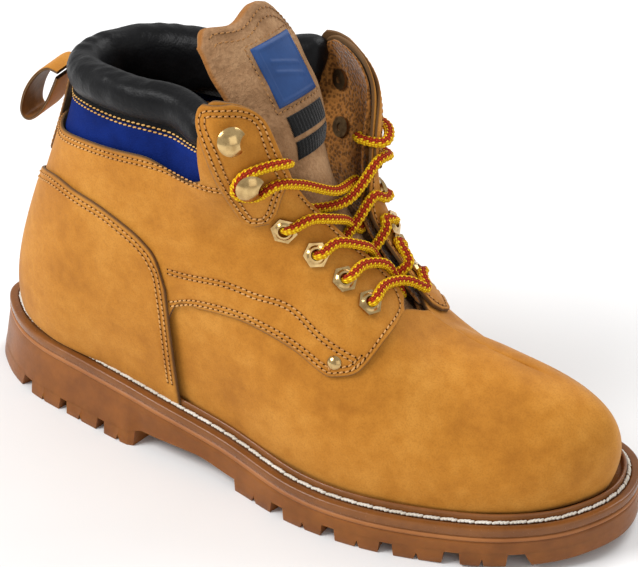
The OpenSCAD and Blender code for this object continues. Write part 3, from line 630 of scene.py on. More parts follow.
NUBUCK = leather("nubuck", (0.36, 0.130, 0.012), (0.46, 0.180, 0.020), (0.55, 0.238, 0.036),
                 mottle=24, sheen=0.12)
EDGE_LEATHER = leather("loop_leather", (0.09, 0.032, 0.006), (0.16, 0.058, 0.012), (0.25, 0.098, 0.023),
                       rough=0.5)
SUEDE = leather("suede", (0.24, 0.125, 0.056), (0.34, 0.185, 0.09), (0.44, 0.255, 0.13),
                edge=(0.30, 0.12, 0.03), rough=0.9, grain=700, depth=0.0006, sheen=0.12, mottle=60)
BLACK = leather("collar_leather", (0.003, 0.003, 0.0034), (0.005, 0.005, 0.0055), (0.009, 0.009, 0.0095),
                rough=0.4, grain=1100, depth=0.0002, sheen=0.0, use_edge=False, spec=0.13)
GUM = rubber("gum_rubber", (0.25, 0.082, 0.012), (0.17, 0.052, 0.007), 0.4, 0.15)
STRIPE = rubber("stripe_rubber", (0.36, 0.135, 0.035), (0.29, 0.10, 0.024), 0.45)
WELT = rubber("welt_rubber", (0.23, 0.085, 0.022), (0.17, 0.06, 0.015), 0.24)
BRASS = metal("brass", (0.62, 0.43, 0.19), (0.42, 0.27, 0.11), 0.17)
# darker, rougher copy of the brass, used for the hook backs
BRASS_DARK = metal("brass_dark", (0.30, 0.19, 0.09), (0.17, 0.10, 0.05), 0.4)
STEEL = metal("steel", (0.62, 0.63, 0.65), (0.5, 0.5, 0.52), 0.35)
THREAD = cloth("gold_thread", (0.70, 0.42, 0.14), (0.52, 0.28, 0.08), 3500, depth=0.0001, sheen=0.1)
THREAD_TAN = cloth("tan_thread", (0.66, 0.36, 0.13), (0.46, 0.21, 0.06), 3500, depth=0.0001, sheen=0.1)
THREAD_BROWN = cloth("brown_thread", (0.40, 0.20, 0.07), (0.28, 0.13, 0.045), 3500, depth=0.0001)
THREAD_WHITE = cloth("welt_thread", (0.80, 0.76, 0.68), (0.60, 0.55, 0.46), 2600, depth=0.0002)
# painted shade: near-black colour for the dots that stand for the shade inside the needle holes
HOLE_SHADE = cloth("needle_holes", (0.035, 0.012, 0.003), (0.015, 0.005, 0.002), 2000, sheen=0.0)
BLUE = cloth("blue_cloth", (0.004, 0.019, 0.15), (0.002, 0.010, 0.085), 1800, depth=0.0002, sheen=0.0)
LINING = cloth("lining_mesh", (0.40, 0.165, 0.038), (0.29, 0.112, 0.024), 640, depth=0.0007, net=True)
LINING_DARK = cloth("lining_dark", (0.035, 0.030, 0.028), (0.02, 0.018, 0.017), 900)
BOARD = cloth("board", (0.36, 0.26, 0.16), (0.27, 0.19, 0.11), 500)
PATCH = rubber("patch_rubber", (0.018, 0.062, 0.20), (0.013, 0.045, 0.15), 0.5)
BINDING = cloth("binding_cloth", (0.007, 0.007, 0.008), (0.004, 0.004, 0.0045), 2200, sheen=0.0)
TAB = cloth("tab_cloth", (0.014, 0.014, 0.014), (0.008, 0.008, 0.008), 2400)

# ---- outlines of the panels
EYES = [(6.9, 0.647), (7.93, 0.668), (8.86, 0.692), (9.47, 0.692)]
HOOKS = [(6.28, 0.945), (6.48, 0.805)]
HOOKS_IN = [(6.18, 0.865), (6.31, 0.745)]
# (u, v) along the top edge of the vamp, and along the edges of a quarter
VAMP_TOP = [
    (3.8, 0.40), (4.6, 0.47), (6.2, 0.48), (8, 0.46), (9, 0.53), (9.8, 0.66), (10.5, 0.86), (11, 1)]
QTR_LOW = [
    (0, 0.03), (3.5, 0.03), (4.3, 0.38), (4.85, 0.42), (5.7, 0.42), (6.9, 0.378), (7.8, 0.367),
    (8.1, 0.38), (8.65, 0.42), (9.05, 0.475), (9.55, 0.57), (10.1, 0.70), (10.45, 0.83)]
QTR_BACK = [(0, 0.775), (1.2, 0.78), (2.5, 0.80), (3.75, 0.812), (5.5, 0.81)]
QTR_FRONT = [(9, 0.865), (9.8, 0.92), (10.2, 0.93), (10.45, 0.90)]
QTR_TOP = QTR_BACK + [
    (5.72, 0.99), (5.95, 1.075), (6.3, 1.07), (6.6, 1.03), (6.9, 0.975), (7.35, 0.905),
    (7.8, 0.86)] + QTR_FRONT
QTR_TOP_IN = QTR_BACK + [
    (5.75, 0.96), (6.1, 1.01), (6.55, 1.015), (6.95, 0.985), (7.35, 0.925), (7.8, 0.865)] + QTR_FRONT
HEEL_TOP = [(0, 0.53), (0.8, 0.60), (1.5, 0.635), (2.2, 0.632), (2.8, 0.622), (3.45, 0.592),
            (3.85, 0.56), (4.1, 0.52), (4.24, 0.44)]
# (v, u) along the rear and front edge of a hook facing
FACE_REAR = [(0.665, 6.3), (0.69, 6.06), (0.75, 5.98), (0.81, 5.95), (0.90, 5.88), (0.99, 5.68),
             (1.04, 5.72), (1.07, 5.85)]
FACE_FRONT = [(0.665, 6.55), (0.70, 6.85), (0.78, 7.2), (0.85, 7.5), (0.90, 7.33), (0.97, 6.93),
              (1.04, 6.5), (1.07, 6.25)]


def sided(u, side):
    """Place on the inner side that answers to place u of the outer side."""
    if side < 0:
        return u
    return RIB_COUNT - (u + 0.35 * smooth(9.3, 10.3, u)
                        + 0.4 * smooth(6.2, 7, u) * (1 - smooth(7.6, 8.4, u)))


def face_v(v, side):
    """Height on a hook facing; the inner one is a little lower at the top."""
    return v if side < 0 else v - 0.055 * smooth(0.85, 1.07, v)


def qtr_top(u, side):
    """Top edge of a quarter; the flap of the inner one is a little lower."""
    return curve(QTR_TOP if side < 0 else QTR_TOP_IN, u)


# ---- sole
RING_POINTS = 660
AROUND = np.arange(RING_POINTS) * EDGE_COUNT / RING_POINTS


def sections(points):
    """One ring round the sole for each (mm out from the edge, mm above the welt's top)."""
    rings = []
    for d, z in points:
        p = outline(AROUND, d)
        rings.append(np.column_stack([p, welt_top(p[:, 0]) + z]))
    return rings


def end_caps(levels):
    """Faces that close the first and the last of a stack of rings."""
    n = RING_POINTS
    F = []
    for k in range(n // 2):
        a = [k, k + 1, n - k - 1, (n - k) % n]
        a = [x for i, x in enumerate(a) if x != a[(i + 1) % 4]]
        F.append(a[::-1])
        F.append([x + (levels - 1) * n for x in a])
    return F


def loft(node_name, rings, mat, closed=False):
    """Solid through a stack of rings; a closed one joins the last ring to the first."""
    F = grid_faces(len(rings), RING_POINTS, wrap_j=True, wrap_i=closed, flip=True)
    if not closed:
        F += end_caps(len(rings))
    ob = make(node_name + "_mesh", np.vstack(rings), F, "boot", mat)
    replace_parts(ob, node_name)


# lugs as (start, end, nicks) along the edge from the heel, the same on both sides
LUGS = [(0.08, 1.75, []), (1.98, 2.65, [2.29]), (2.77, 3.32, [3.03]), (3.42, 3.85, [3.64]),
        (5.21, 5.76, [5.5]), (5.92, 6.49, [6.21]), (6.66, 7.27, [6.98]), (7.42, 8.08, [7.72]),
        (8.29, 9.02, [8.63])]
TOE_LUG = (9.26, 12.74, [])
# a lug's section: mm out from the edge, height from 0 at the ground to 1 at the roof, share of its length
LUG_SECTION = [
    (-16, 1.0, 1.0), (-15.3, 0.06, 0.94), (-14.6, 0.0, 0.92), (-9, 0, 0.92), (-5, 0, 0.92),
    (-4.9, 0, 0.92), (-1.0, 0.0, 0.92), (-0.3, 0.0, 0.92), (0.0, 0.06, 0.93), (0.0, 0.5, 0.965),
    (0.0, 1.0, 1.0)]
LUG_INSIDE = -4.95
NICK_HALF = 0.035
NICK_DEPTH = 3.4
BAR_HEIGHT = 7
BAR_CHAMFER = 0.6


def heel_flare(x):
    """Amount in mm by which the tread stands out past the midsole."""
    return 0.5 + 2.9 * (1 - smooth(-66, -58, x))


def lug_mesh(a, b, nicks):
    """Points of one lug, as a grid of section rows by places along the edge."""
    T = list(np.linspace(a, b, max(6, int((b - a) / 0.06))))
    for k in nicks:
        T += [k - NICK_HALF, k - 0.001, k + 0.001, k + NICK_HALF]
    T = np.array(sorted(T))
    mid = (a + b) / 2
    P = []
    for dist, w, squeeze in LUG_SECTION:
        t = mid + (T - mid) * squeeze
        flare = heel_flare(edge_pt(t)[:, 0])
        d = np.full(len(t), float(dist))
        if dist == -0.3:
            d = dist + flare
        elif dist > LUG_INSIDE:
            d = dist + flare * lerp(1.0, 0.72, w)
        p = outline(t, d)
        z = lerp(ground(p[:, 0]), tread_roof(p[:, 0]) + 0.6, w)
        if dist > LUG_INSIDE and w < 0.6:
            for k in nicks:
                z = z + NICK_DEPTH * np.clip(1 - np.abs(T - k) / NICK_HALF, 0, 1) * (1 if w < 0.4 else 0.15)
        P.append(np.column_stack([p, z]))
    return np.array(P)


def build_outsole():
    heap = Heap()
    levels = []
    for w in np.linspace(0, 1, 9):
        d = lerp(heel_flare(edge_pt(AROUND)[:, 0]) * 0.72, 0.0, w)
        if w == 1:
            d = d - 0.5
        p = outline(AROUND, d)
        levels.append(np.column_stack([p, lerp(tread_roof(p[:, 0]), welt_top(p[:, 0]) - 6.9, w)]))
    heap.add(np.vstack(levels), grid_faces(9, RING_POINTS, wrap_j=True, flip=True) + end_caps(9))
    lugs = []
    for a, b, nicks in LUGS:
        lugs.append((EDGE_COUNT + a, EDGE_COUNT + b, [EDGE_COUNT + k for k in nicks]))
        lugs.append((EDGE_COUNT - b, EDGE_COUNT - a, [EDGE_COUNT - k for k in nicks]))
    for a, b, nicks in lugs + [TOE_LUG]:
        P = lug_mesh(a, b, nicks)
        m, q = P.shape[:2]
        ends = [[j * q for j in range(m)], [j * q + q - 1 for j in range(m)][::-1]]
        heap.add(P.reshape(-1, 3), grid_faces(m, q) + ends)
    bars = [(19 * i, 0.6 * i, 17) for i in range(6)] + [(-122 + 22 * i, 1, 9) for i in range(3)]
    for x0, y0, half in bars:
        z0 = float(ground(x0))
        V = [(x0 + sx * (5 - trim), y0 + sy * (half - trim), z0 + sz * BAR_HEIGHT)
             for sz, trim in ((0, BAR_CHAMFER), (1, 0)) for sx, sy in ((-1, -1), (1, -1), (1, 1), (-1, 1))]
        heap.add(np.array(V, float), [[3, 2, 1, 0], [0, 1, 5, 4], [1, 2, 6, 5], [2, 3, 7, 6], [3, 0, 4, 7]])
    ob = heap.build("outsole_mesh", "boot", GUM)
    ob.data.set_sharp_from_angle(angle=math.radians(40))
    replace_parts(ob, "outsole")


build_outsole()
loft("midsole", sections([(-1.2, -6.85), (-0.3, -6.7), (0.15, -6.2), (0.2, -5.5), (0.0, -4.8),
                          (-0.8, -4.45), (-14, -4.4)]), STRIPE)
WELT_SECTION = [
    (-13, -4.2), (-1.2, -4.2), (-0.3, -4.0), (0.1, -3.2), (0.15, -1.2), (-0.15, -0.35), (-0.9, 0.0),
    (-3.0, 0.05), (-3.7, -0.3), (-4.1, -0.8), (-5.4, -0.85), (-5.85, -0.3), (-5.95, 1.2), (-6.0, 2.6),
    (-6.35, 3.25), (-6.9, 3.4), (-7.4, 3.0), (-7.7, 2.0), (-8.0, 0.5), (-9, -0.2), (-13, -1.2)]
loft("welt", sections(along(WELT_SECTION, np.linspace(0, 20, 61))), WELT, closed=True)

# thick white lockstitch in the welt groove, each stitch a row of twisted lumps
LUMPS = 4
LOCKSTITCH_PITCH = 7.3
Q = outline(np.linspace(0, EDGE_COUNT, 1500), -4.75)
Q = even(np.column_stack([Q, welt_top(Q[:, 0]) + 0.1]), LOCKSTITCH_PITCH)
T = unit(Q[1:] - Q[:-1])
Z = np.tile([0.0, 0.0, 1.0], (len(T), 1))
twisted = unit(T + unit(np.cross(Z, T)) * 0.42)
thread = Heap()
for j in range(LUMPS):
    k = 0.06 + 0.88 * (j + 0.5) / LUMPS
    C = lerp(Q[:-1], Q[1:], k)
    lift = 0.35 * math.sin(math.pi * k) + 0.15
    thread.add(*capsules(C + Z * lift + rng.normal(0, 0.05, C.shape), twisted, Z, 2.7, 1.35, 1.35, 6, 8))
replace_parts(thread.build("welt_stitching_mesh", "boot", THREAD_WHITE), "welt_stitching")

loft("footbed", sections([(-15.2, 1.5), (-14.6, 3.4), (-15.2, 4.6), (-17, 4.9), (-24, 4.6)]), LINING_DARK)


def paint(mat, *names):
    """Gives CAD nodes that keep their shape a material."""
    for o in bpy.data.objects:
        if o.type == "MESH" and o.name.split(".")[0] in names:
            o.data.materials.clear()
            o.data.materials.append(mat)


paint(STEEL, "steel_plate", "shank", "toe_cap")
paint(BOARD, "filler", "insole_board", "heel_stiffener")
paint(TAB, "toe_cap_trim")
paint(LINING_DARK, "collar_foam")
paint(BRASS, "eyelets_lateral", "eyelets_medial", "hooks_lateral", "hooks_medial", "vamp_rivets")
paint(BRASS_DARK, "hook_backs")

# ---- upper
tan_rows = Rows()
gold_rows = Rows()


def add_rows(rows, points, side, off, dists, n=240):
    """Stitch rows parallel to a line of (u, v) points on one side, at distances to its left."""
    u, v = along(points, np.linspace(0, len(points) - 1, n)).T
    u = sided(u, side)
    made = []
    for d in dists:
        uu, vv = inset_rows(u, v, d if side < 0 else -d)
        P = skin(uu, vv, np.full(len(uu), off))
        rows.add(P, skin_out(uu, vv))
        made.append(even(P, 0.8))
    return made


def vamp_uv(s, t):
    u = lerp(4.0, 24.0, s)
    a = np.where(u > RIB_COUNT / 2, RIB_COUNT - u, u)
    top = np.where(a >= 11, 1.0, curve(VAMP_TOP, np.minimum(a, 11)))
    return u, lerp(-0.05, top, t)


def toe_creases(v, P):
    return 0.25 * np.sin(P[..., 0] * 0.09 + P[..., 1] * 0.05) * smooth(0.2, 0.6, v)


def vamp_lining_uv(s, t):
    u = lerp(8.4, 19.6, s)
    return u, lerp(0.06, vamp_uv((u - 4) / 20, t * 0 + 1)[1], t)


panel("vamp", vamp_uv, (300, 90), (420, 80), VAMP_LO, VAMP_HI, NUBUCK, merge=0.05, wave=toe_creases,
      ridge=True)
panel("vamp_lining", vamp_lining_uv, (120, 30), (200, 80), -5, -4, LINING)

# stitch lines on a quarter and round a hook facing, as (u, v)
SEAM_UPPER = [(4.3, 0.498), (5.3, 0.513), (6.2, 0.487), (7.3, 0.464), (8.1, 0.462), (8.72, 0.462)]
SEAM_LOW = QTR_LOW[2:10]
SEAM_FRONT = QTR_LOW[8:12] + [
    (10.38, 0.80), (10.42, 0.87), (10.2, 0.925), (9.8, 0.92), (9, 0.865), (8.3, 0.86), (7.8, 0.86)]
SEAM_TOP = [(6.0, 0.806), (5.0, 0.812), (3.75, 0.812), (2.5, 0.80), (1.2, 0.78), (0.1, 0.775)]
SEAM_FACE = [
    (6.42, 0.667), (6.1, 0.683), (5.98, 0.75), (5.95, 0.81), (5.88, 0.90), (5.68, 0.99), (5.74, 1.045),
    (6.05, 1.066), (6.45, 1.048), (6.93, 0.97), (7.3, 0.90), (7.48, 0.85), (7.2, 0.78), (6.85, 0.70),
    (6.6, 0.672), (6.42, 0.667)]


def quarter_uv(s, t, side):
    u = lerp(0.02, 10.45, s)
    return sided(u, side), lerp(curve(QTR_LOW, u), qtr_top(u, side), t)


def face_uv(s, t, side):
    v = lerp(0.667, 1.067, t)
    u = lerp(curve(FACE_REAR, v), curve(FACE_FRONT, v), s)
    return sided(u, side), face_v(v, side)


for side, tag in ((-1, "lateral"), (1, "medial")):
    grooves = add_rows(tan_rows, SEAM_LOW, side, QTR_HI, (1.9, 4.0))
    grooves += add_rows(tan_rows, SEAM_UPPER, side, QTR_HI, (-1.05, 1.05))
    grooves += add_rows(tan_rows, SEAM_FRONT, side, QTR_HI, (2.2,))
    grooves += add_rows(tan_rows, SEAM_TOP, side, QTR_HI, (1.8, 3.9))
    panel("quarter_" + tag, lambda s, t: quarter_uv(s, t, side), (300, 110), (230, 80), QTR_LO, QTR_HI,
          NUBUCK, grooves, flip=side > 0)
    face = [(a, float(face_v(b, side))) for a, b in SEAM_FACE]
    grooves = add_rows(tan_rows, face, side, TOP_HI, (-2.0, -4.1), n=400)
    panel("hook_facing_" + tag, lambda s, t: face_uv(s, t, side), (60, 110), (30, 50), TOP_LO, TOP_HI,
          NUBUCK, grooves, flip=side > 0)

SEAM_HEEL = [(u, v) for u, v in HEEL_TOP[::-1] if u not in (0, 2.2)]
SEAM_HEEL = ([(-4.24, 0.1)] + [(-u, v) for u, v in SEAM_HEEL] + [(0, 0.54)]
             + [(u, v) for u, v in SEAM_HEEL[::-1]] + [(4.24, 0.1)])


def heel_uv(s, t):
    u = lerp(-4.24, 4.24, s)
    return u, lerp(-0.03, curve(HEEL_TOP, np.abs(u)), t)


def strip_uv(end, low, high):
    """Straight strip round the back of the boot from -end to end."""
    return lambda s, t: (lerp(-end, end, s), lerp(low, high, t))


BACKSTAY_HI = TOP_HI - 0.2
panel("heel_panel", heel_uv, (200, 90), (200, 80), TOP_LO, TOP_HI, NUBUCK,
      add_rows(tan_rows, SEAM_HEEL, -1, TOP_HI, (-2.2, -4.6), n=500))
grooves = add_rows(tan_rows, [(-0.22, 0.64), (-0.22, 0.89)], -1, BACKSTAY_HI, (0,), n=60)
grooves += add_rows(tan_rows, [(0.22, 0.89), (0.22, 0.64)], -1, BACKSTAY_HI, (0,), n=60)
panel("backstay", strip_uv(0.32, 0.63, 0.90), (16, 60), (12, 36), TOP_LO, BACKSTAY_HI, NUBUCK, grooves)
grooves = []
for end in (-1, 1):
    line = [(5.7 * end, 0.905), (4 * end, 0.905), (2.5 * end, 0.905), (0.3 * end, 0.905)]
    add_rows(gold_rows, line, -1, -0.2, (0.0,))
    grooves += add_rows(gold_rows, line, -1, -0.7, (2.3 * end,))
# black binding between the band and the collar, under the upper of the two rows
panel(None, strip_uv(5.66, 0.896, 0.93), (260, 8), (230, 5), -0.6, -0.2, BINDING,
      name="collar_binding_mesh")
panel("collar_band", strip_uv(5.7, 0.76, 0.925), (260, 30), (230, 24), -2.0, -0.7, BLUE, grooves)


def lining_uv(s, t):
    u = lerp(-10.3, 10.3, s)
    a = np.abs(u)
    low = lerp(0.04, curve(QTR_LOW, a) + 0.02, smooth(7.4, 8.6, a))
    top = np.where(u < 0, curve(QTR_TOP_IN, a), curve(QTR_TOP, a))
    high = lerp(0.78, np.minimum(top - 0.008, 1.06), smooth(5.3, 6.0, a))
    return np.where(u < 0, sided(a, 1) - RIB_COUNT, u), lerp(low, high, t)


def flap_push(u, v):
    """The lining comes up against the leather in the free flaps beside the collar."""
    a = np.abs(u)
    return 1.9 * smooth(0.7, 0.82, v) * smooth(5.85, 6.15, a) * (1 - smooth(7.3, 7.8, a))


panel("quarter_lining", lining_uv, (300, 60), (400, 90), IN_LO, IN_HI, LINING, fray=0.35, push=flap_push)
tan_rows.build("leather_stitching", THREAD_TAN)
gold_rows.build("band_stitching", THREAD)

# collar roll: section as (v, mm off the guide surface), swept round the top, and its middle
ROLL = np.array([
    (0.925, -1.4), (0.935, 1.6), (0.96, 3.4), (0.99, 3.8), (1.02, 2.6), (1.04, -0.6), (1.045, -4.6),
    (1.03, -9), (1.0, -12), (0.95, -13.5), (0.88, -12.5), (0.82, -9.5)])
ROLL_MID = np.array([0.965, -5.2])
ROLL_RISE = 130
SEAM_PLACE = 5.35
COLLAR_PUFF = 1.4
VOXEL = 0.0032
PRESSURE = 10.0
MAX_SWELL = 7


def roll_point(u, k, shrink):
    """Point of the collar section moved shrink mm towards the middle of the roll."""
    K = along(ROLL, k)
    w = np.stack([(K[..., 0] - ROLL_MID[0]) * ROLL_RISE, K[..., 1] - ROLL_MID[1]], -1)
    w = w * (1 - shrink / np.maximum(np.linalg.norm(w, axis=-1, keepdims=True), 1e-6))
    v = (ROLL_MID[0] + w[..., 0] / ROLL_RISE) * (1 - 0.012 * smooth(4.6, 5.5, np.abs(u)))
    return skin(u, v, ROLL_MID[1] + w[..., 1])


def baked(ob):
    """Mesh of an object with its modifiers applied; the object takes it and loses the modifiers."""
    graph = bpy.context.evaluated_depsgraph_get()
    me = bpy.data.meshes.new_from_object(ob.evaluated_get(graph))
    ob.modifiers.clear()
    ob.data = me
    return me


def inflate(ob, pins):
    """Cloth pass on a closed soft form: pinned along its seams, blown up a little, then kept as a mesh."""
    rem = ob.modifiers.new("remesh", "REMESH")
    rem.mode = "VOXEL"
    rem.voxel_size = VOXEL
    me = baked(ob)
    P = places(me)
    group = ob.vertex_groups.new(name="pin")
    hold = near(P / MM, pins, 3.0)
    for i in np.nonzero(hold > 0.05)[0]:
        group.add([int(i)], float(min(1.0, hold[i] * 1.6)), "REPLACE")
    settings = ob.modifiers.new("cloth", "CLOTH").settings
    settings.effector_weights.gravity = 0
    for key, value in dict(use_pressure=True, uniform_pressure_force=PRESSURE, vertex_group_mass="pin",
                           quality=5, mass=0.25, tension_stiffness=25, compression_stiffness=25,
                           bending_stiffness=0.8).items():
        setattr(settings, key, value)
    scene = bpy.context.scene
    for f in range(1, 21):
        scene.frame_set(f)
    move = places(ob.evaluated_get(bpy.context.evaluated_depsgraph_get()).data) - P
    size = np.linalg.norm(move, axis=1, keepdims=True)
    ob.modifiers.clear()
    move_to(me, P + move * np.minimum(1, MAX_SWELL * MM / np.maximum(size, 1e-9)))
    scene.frame_set(1)


def relax(me, times):
    """Smooths a mesh without shrinking it: each pass in is followed by a pass out."""
    X = places(me)
    E = np.empty(len(me.edges) * 2, int)
    me.edges.foreach_get("vertices", E)
    E = E.reshape(-1, 2)
    links = np.maximum(np.bincount(E.reshape(-1), minlength=len(X)), 1)[:, None]
    for _ in range(times):
        for step in (0.5, -0.52):
            total = np.zeros_like(X)
            np.add.at(total, E[:, 0], X[E[:, 1]])
            np.add.at(total, E[:, 1], X[E[:, 0]])
            X = X + step * (total / links - X)
    move_to(me, X)


def build_collar():
    ends = np.array([5.6, 5.68, 5.73, 5.75])
    tips = np.array([1.6, 2.2, 3.4, 5.4])
    U = np.concatenate([-(ends + 0.11)[::-1], np.linspace(-5.6, 5.55, 252), ends])
    shrink = np.concatenate([tips[::-1], np.full(252, 1.3), tips])
    nu, nk = len(U), 48
    u, k = np.meshgrid(U, np.linspace(0, 11, nk), indexing="ij")
    P = roll_point(u, k, shrink[:, None, None])
    F = grid_faces(nu, nk, wrap_j=True)
    F.append(list(range(nk))[::-1])
    F.append(list(range((nu - 1) * nk, nu * nk)))
    ob = make("collar_mesh", P.reshape(-1, 3), F, None, BLACK)
    seams = [roll_point(U, U * 0 + k, 1.3) for k in (0, 11, 10.4)]
    inflate(ob, np.vstack(seams + [P[:4].reshape(-1, 3), P[-4:].reshape(-1, 3)]))
    relax(ob.data, 80)
    ob.modifiers.new("fine", "SUBSURF").levels = 1
    baked(ob)
    me = ob.data
    me.materials.clear()
    me.materials.append(BLACK)
    X = places(me) / MM
    no = np.empty(len(me.vertices) * 3)
    me.vertex_normals.foreach_get("vector", no)
    no = no.reshape(-1, 3)
    seam = even(roll_point(U, U * 0 + SEAM_PLACE, 0.0), 0.8)
    X = X + no * (COLLAR_PUFF - 0.7 * near(X, seam, 2.2))[:, None]
    # slight pleats along the seam at the back
    turn = np.arctan2(X[:, 1], -X[:, 0] - 40)
    pleat = 0.35 * np.exp(-(turn / 0.9) ** 2) * np.sin(turn * 42 + 2 * np.sin(turn * 11))
    X = X + no * (pleat * near(X, seam, 5))[:, None]
    me.polygons.foreach_set("use_smooth", [True] * len(me.polygons))
    move_to(me, X * MM)
    ob.modifiers.new("sub", "SUBSURF").render_levels = 1
    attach(ob, "boot")
    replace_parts(ob, "collar_cover")


build_collar()

# pull loop: (x, z) along the middle of the strip
LOOP = [(-121.5, 155), (-127.5, 155.2), (-134, 149.5), (-139.5, 140.5), (-142, 131.5), (-141, 127.2),
        (-137.5, 127), (-132.5, 131.5), (-128, 138.5), (-124.6, 146), (-122, 152.2)]


def build_loop():
    n = 90
    C = along(LOOP, np.linspace(0, 10, n))
    T = unit(np.gradient(C, axis=0))
    out = np.stack([-T[:, 1], T[:, 0]], -1)
    Y = np.concatenate([[-9, -8.7], np.linspace(-8, 8, 15), [8.7, 9]])
    m = len(Y)
    q = n * m
    d = np.minimum(np.arange(m), np.arange(m)[::-1])
    h = 0.8 - np.select([d == 0, d == 1], [0.4, 0.1], 0.0)
    across = 1 + Y[None, :] * (1 - 0.10 * np.sin(np.linspace(0, math.pi, n)))[:, None]
    V = []
    for face in (1, -1):  # inside, outside
        xz = C[:, None] + face * h[None, :, None] * out[:, None]
        V.append(np.stack([xz[..., 0], across, xz[..., 1]], -1).reshape(-1, 3))
    inside = grid_faces(n, m)
    F = inside + grid_faces(n, m, q, flip=True)
    for i in range(n - 1):
        a, b = i * m, (i + 1) * m
        F.append([a, b, q + b, q + a])
        F.append([a + m - 1, q + a + m - 1, q + b + m - 1, b + m - 1])
    edge = np.tile(d == 0, 2 * n) * 1.0
    ob = make("pull_loop_mesh", np.vstack(V), F, "loop", EDGE_LEATHER, attrs={"edge": edge})
    ob.data.materials.append(NUBUCK)
    for polygon in ob.data.polygons[len(inside):2 * len(inside)]:
        polygon.material_index = 1
    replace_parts(ob, "pull_loop")


build_loop()

# ---- tongue
# (x, z) up the middle of the tongue, and (place on that line, half width)
SPINE = [(66, 71), (46, 85), (31, 100), (18, 117), (8, 134), (1, 151), (-8, 169), (-19, 187), (-31, 205)]
SPINE_END = 8
PAST_END = np.array([-12.0, 18.0])
TONGUE_HALF = [
    (0, 17), (1, 14), (2, 13.5), (3, 13.5), (4, 16), (5, 20), (6, 23.5), (7, 25.5), (8, 25)]
FOLD_PLACE = 4.885


def tongue_pt(t, y, off):
    """Point of the tongue at t along its middle line, y across and off mm forward."""
    t, y, off = np.broadcast_arrays(np.asarray(t, float), np.asarray(y, float), np.asarray(off, float))
    past = np.maximum(t - SPINE_END, 0)[..., None] * PAST_END
    t = np.minimum(t, SPINE_END)
    p = along(SPINE, t) + past
    d = unit(along(SPINE, np.minimum(t + 0.05, SPINE_END)) - along(SPINE, np.maximum(t - 0.05, 0)))
    n = np.stack([d[..., 1], -d[..., 0]], -1)
    sag = lerp(0.028, 0.011, smooth(4, 6, t)) * y * y
    q = p + (off - sag)[..., None] * n
    return np.stack([q[..., 0] + 0.15 * y * smooth(4.2, 6, t), y, q[..., 1]], -1)


def tongue_n(t, y):
    """Forward normal of the tongue."""
    e = 0.02
    a = tongue_pt(t + e, y, 0) - tongue_pt(t - e, y, 0)
    b = tongue_pt(t, y + 0.2, 0) - tongue_pt(t, y - 0.2, 0)
    return unit(np.cross(b, a))


def tongue_top(w):
    """Highest t at a place across the tongue, w from -1 (outer side) to 1 (inner side)."""
    return (8.08 + 0.09 * np.sin(w * 5.5 + 0.4) - 0.1 * smooth(0.45, 0.7, w)
            - 0.6 * smooth(0.62, 1.0, w) - 0.3 * smooth(0.8, 1.0, -w))


def tongue_front(t, y):
    """Distance of the padded tongue's front from its middle, less at the fold and towards the sides."""
    w = y / curve(TONGUE_HALF, t)
    fold = lerp(0.55, 1.0, smooth(0, 0.4, np.abs(t - FOLD_PLACE)))
    thick = lerp(2.4, 4.0, smooth(4.6, 5.6, t))
    return thick * fold * (1 - 0.55 * np.abs(w) ** 4)


def build_tongue():
    W = np.concatenate([[-1, -0.975], np.linspace(-0.94, 0.94, 57), [0.975, 1]])
    S = np.concatenate([np.linspace(0, 0.985, 178), [0.996, 1.0]])
    s, w = np.meshgrid(S, W, indexing="ij")
    t = lerp(0.1, tongue_top(w), s)
    y = w * curve(TONGUE_HALF, t)
    f = tongue_front(t, y)
    b = -0.9 * f
    rim = np.minimum(np.minimum(np.arange(len(W)), np.arange(len(W))[::-1])[None, :],
                     np.arange(len(S))[::-1][:, None])
    k = np.select([rim == 0, rim == 1], [0.35, 0.8], 1.0)
    wob = 0.25 * np.sin(t * 7 + w * 2) * smooth(4.8, 6, t)
    A = tongue_pt(t, y, f * k + wob)
    B = tongue_pt(t, y, b * k + wob)
    ni, nj = s.shape
    q = ni * nj
    V = np.vstack([A.reshape(-1, 3), B.reshape(-1, 3)])
    F = grid_faces(ni, nj, flip=True) + grid_faces(ni, nj, q)
    F += rim_faces(ni, nj)
    edge = np.tile((rim == 0).reshape(-1) * 1.0, 2)
    ob = make("tongue_mesh", V, F, None, SUEDE, attrs={"edge": edge})
    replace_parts(ob, "tongue_base", "tongue_flap")
    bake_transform(ob)


build_tongue()


def on_tongue(t, y, lift):
    """Point lift mm in front of the tongue."""
    return tongue_pt(t, y, tongue_front(t, y) + lift)


def sticker(name, t0, t1, mid, half, h, mat, node_name, relief, jag=0.0):
    """Thin badge lying on the tongue, with rounded edges and a raised pattern."""
    s, w = np.meshgrid(ease(44, 26, 0.4), ease(44, 26, 0.4), indexing="ij")
    t = lerp(t0, t1, s)
    d = from_border(*s.shape)
    y = mid + lerp(-half, half, w) + jag * np.sign(w - 0.5) * (d == 0) * np.sin(s * 90)
    k = np.select([d == 0, d == 1], [0.2, 0.75], 1.0) * h + relief(s, w) * (d > 1)
    ni, nj = s.shape
    V = np.vstack([on_tongue(t, y, 0.25 + k).reshape(-1, 3), on_tongue(t, y, 0.1).reshape(-1, 3)])
    ob = make(name, V, grid_faces(ni, nj, flip=True) + rim_faces(ni, nj), "tongue", mat)
    if node_name:
        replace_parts(ob, node_name)


def badge_relief(s, w):
    """Raised frame and two slanting bars, a plain made-up pattern."""
    edge = np.minimum(np.minimum(s, 1 - s), np.minimum(w, 1 - w))
    frame_line = smooth(0.035, 0.05, edge) * (1 - smooth(0.085, 0.1, edge))
    g = (s - 0.5) + 0.35 * (w - 0.5)
    bars = sum(np.exp(-((g - c) / 0.035) ** 4) for c in (-0.09, 0.09))
    return 0.3 * frame_line + 0.35 * bars * (np.abs(w - 0.5) < 0.3)


def ribs(_, w):
    """Ribs of a woven tab."""
    return 0.12 * np.sin(w * 80)


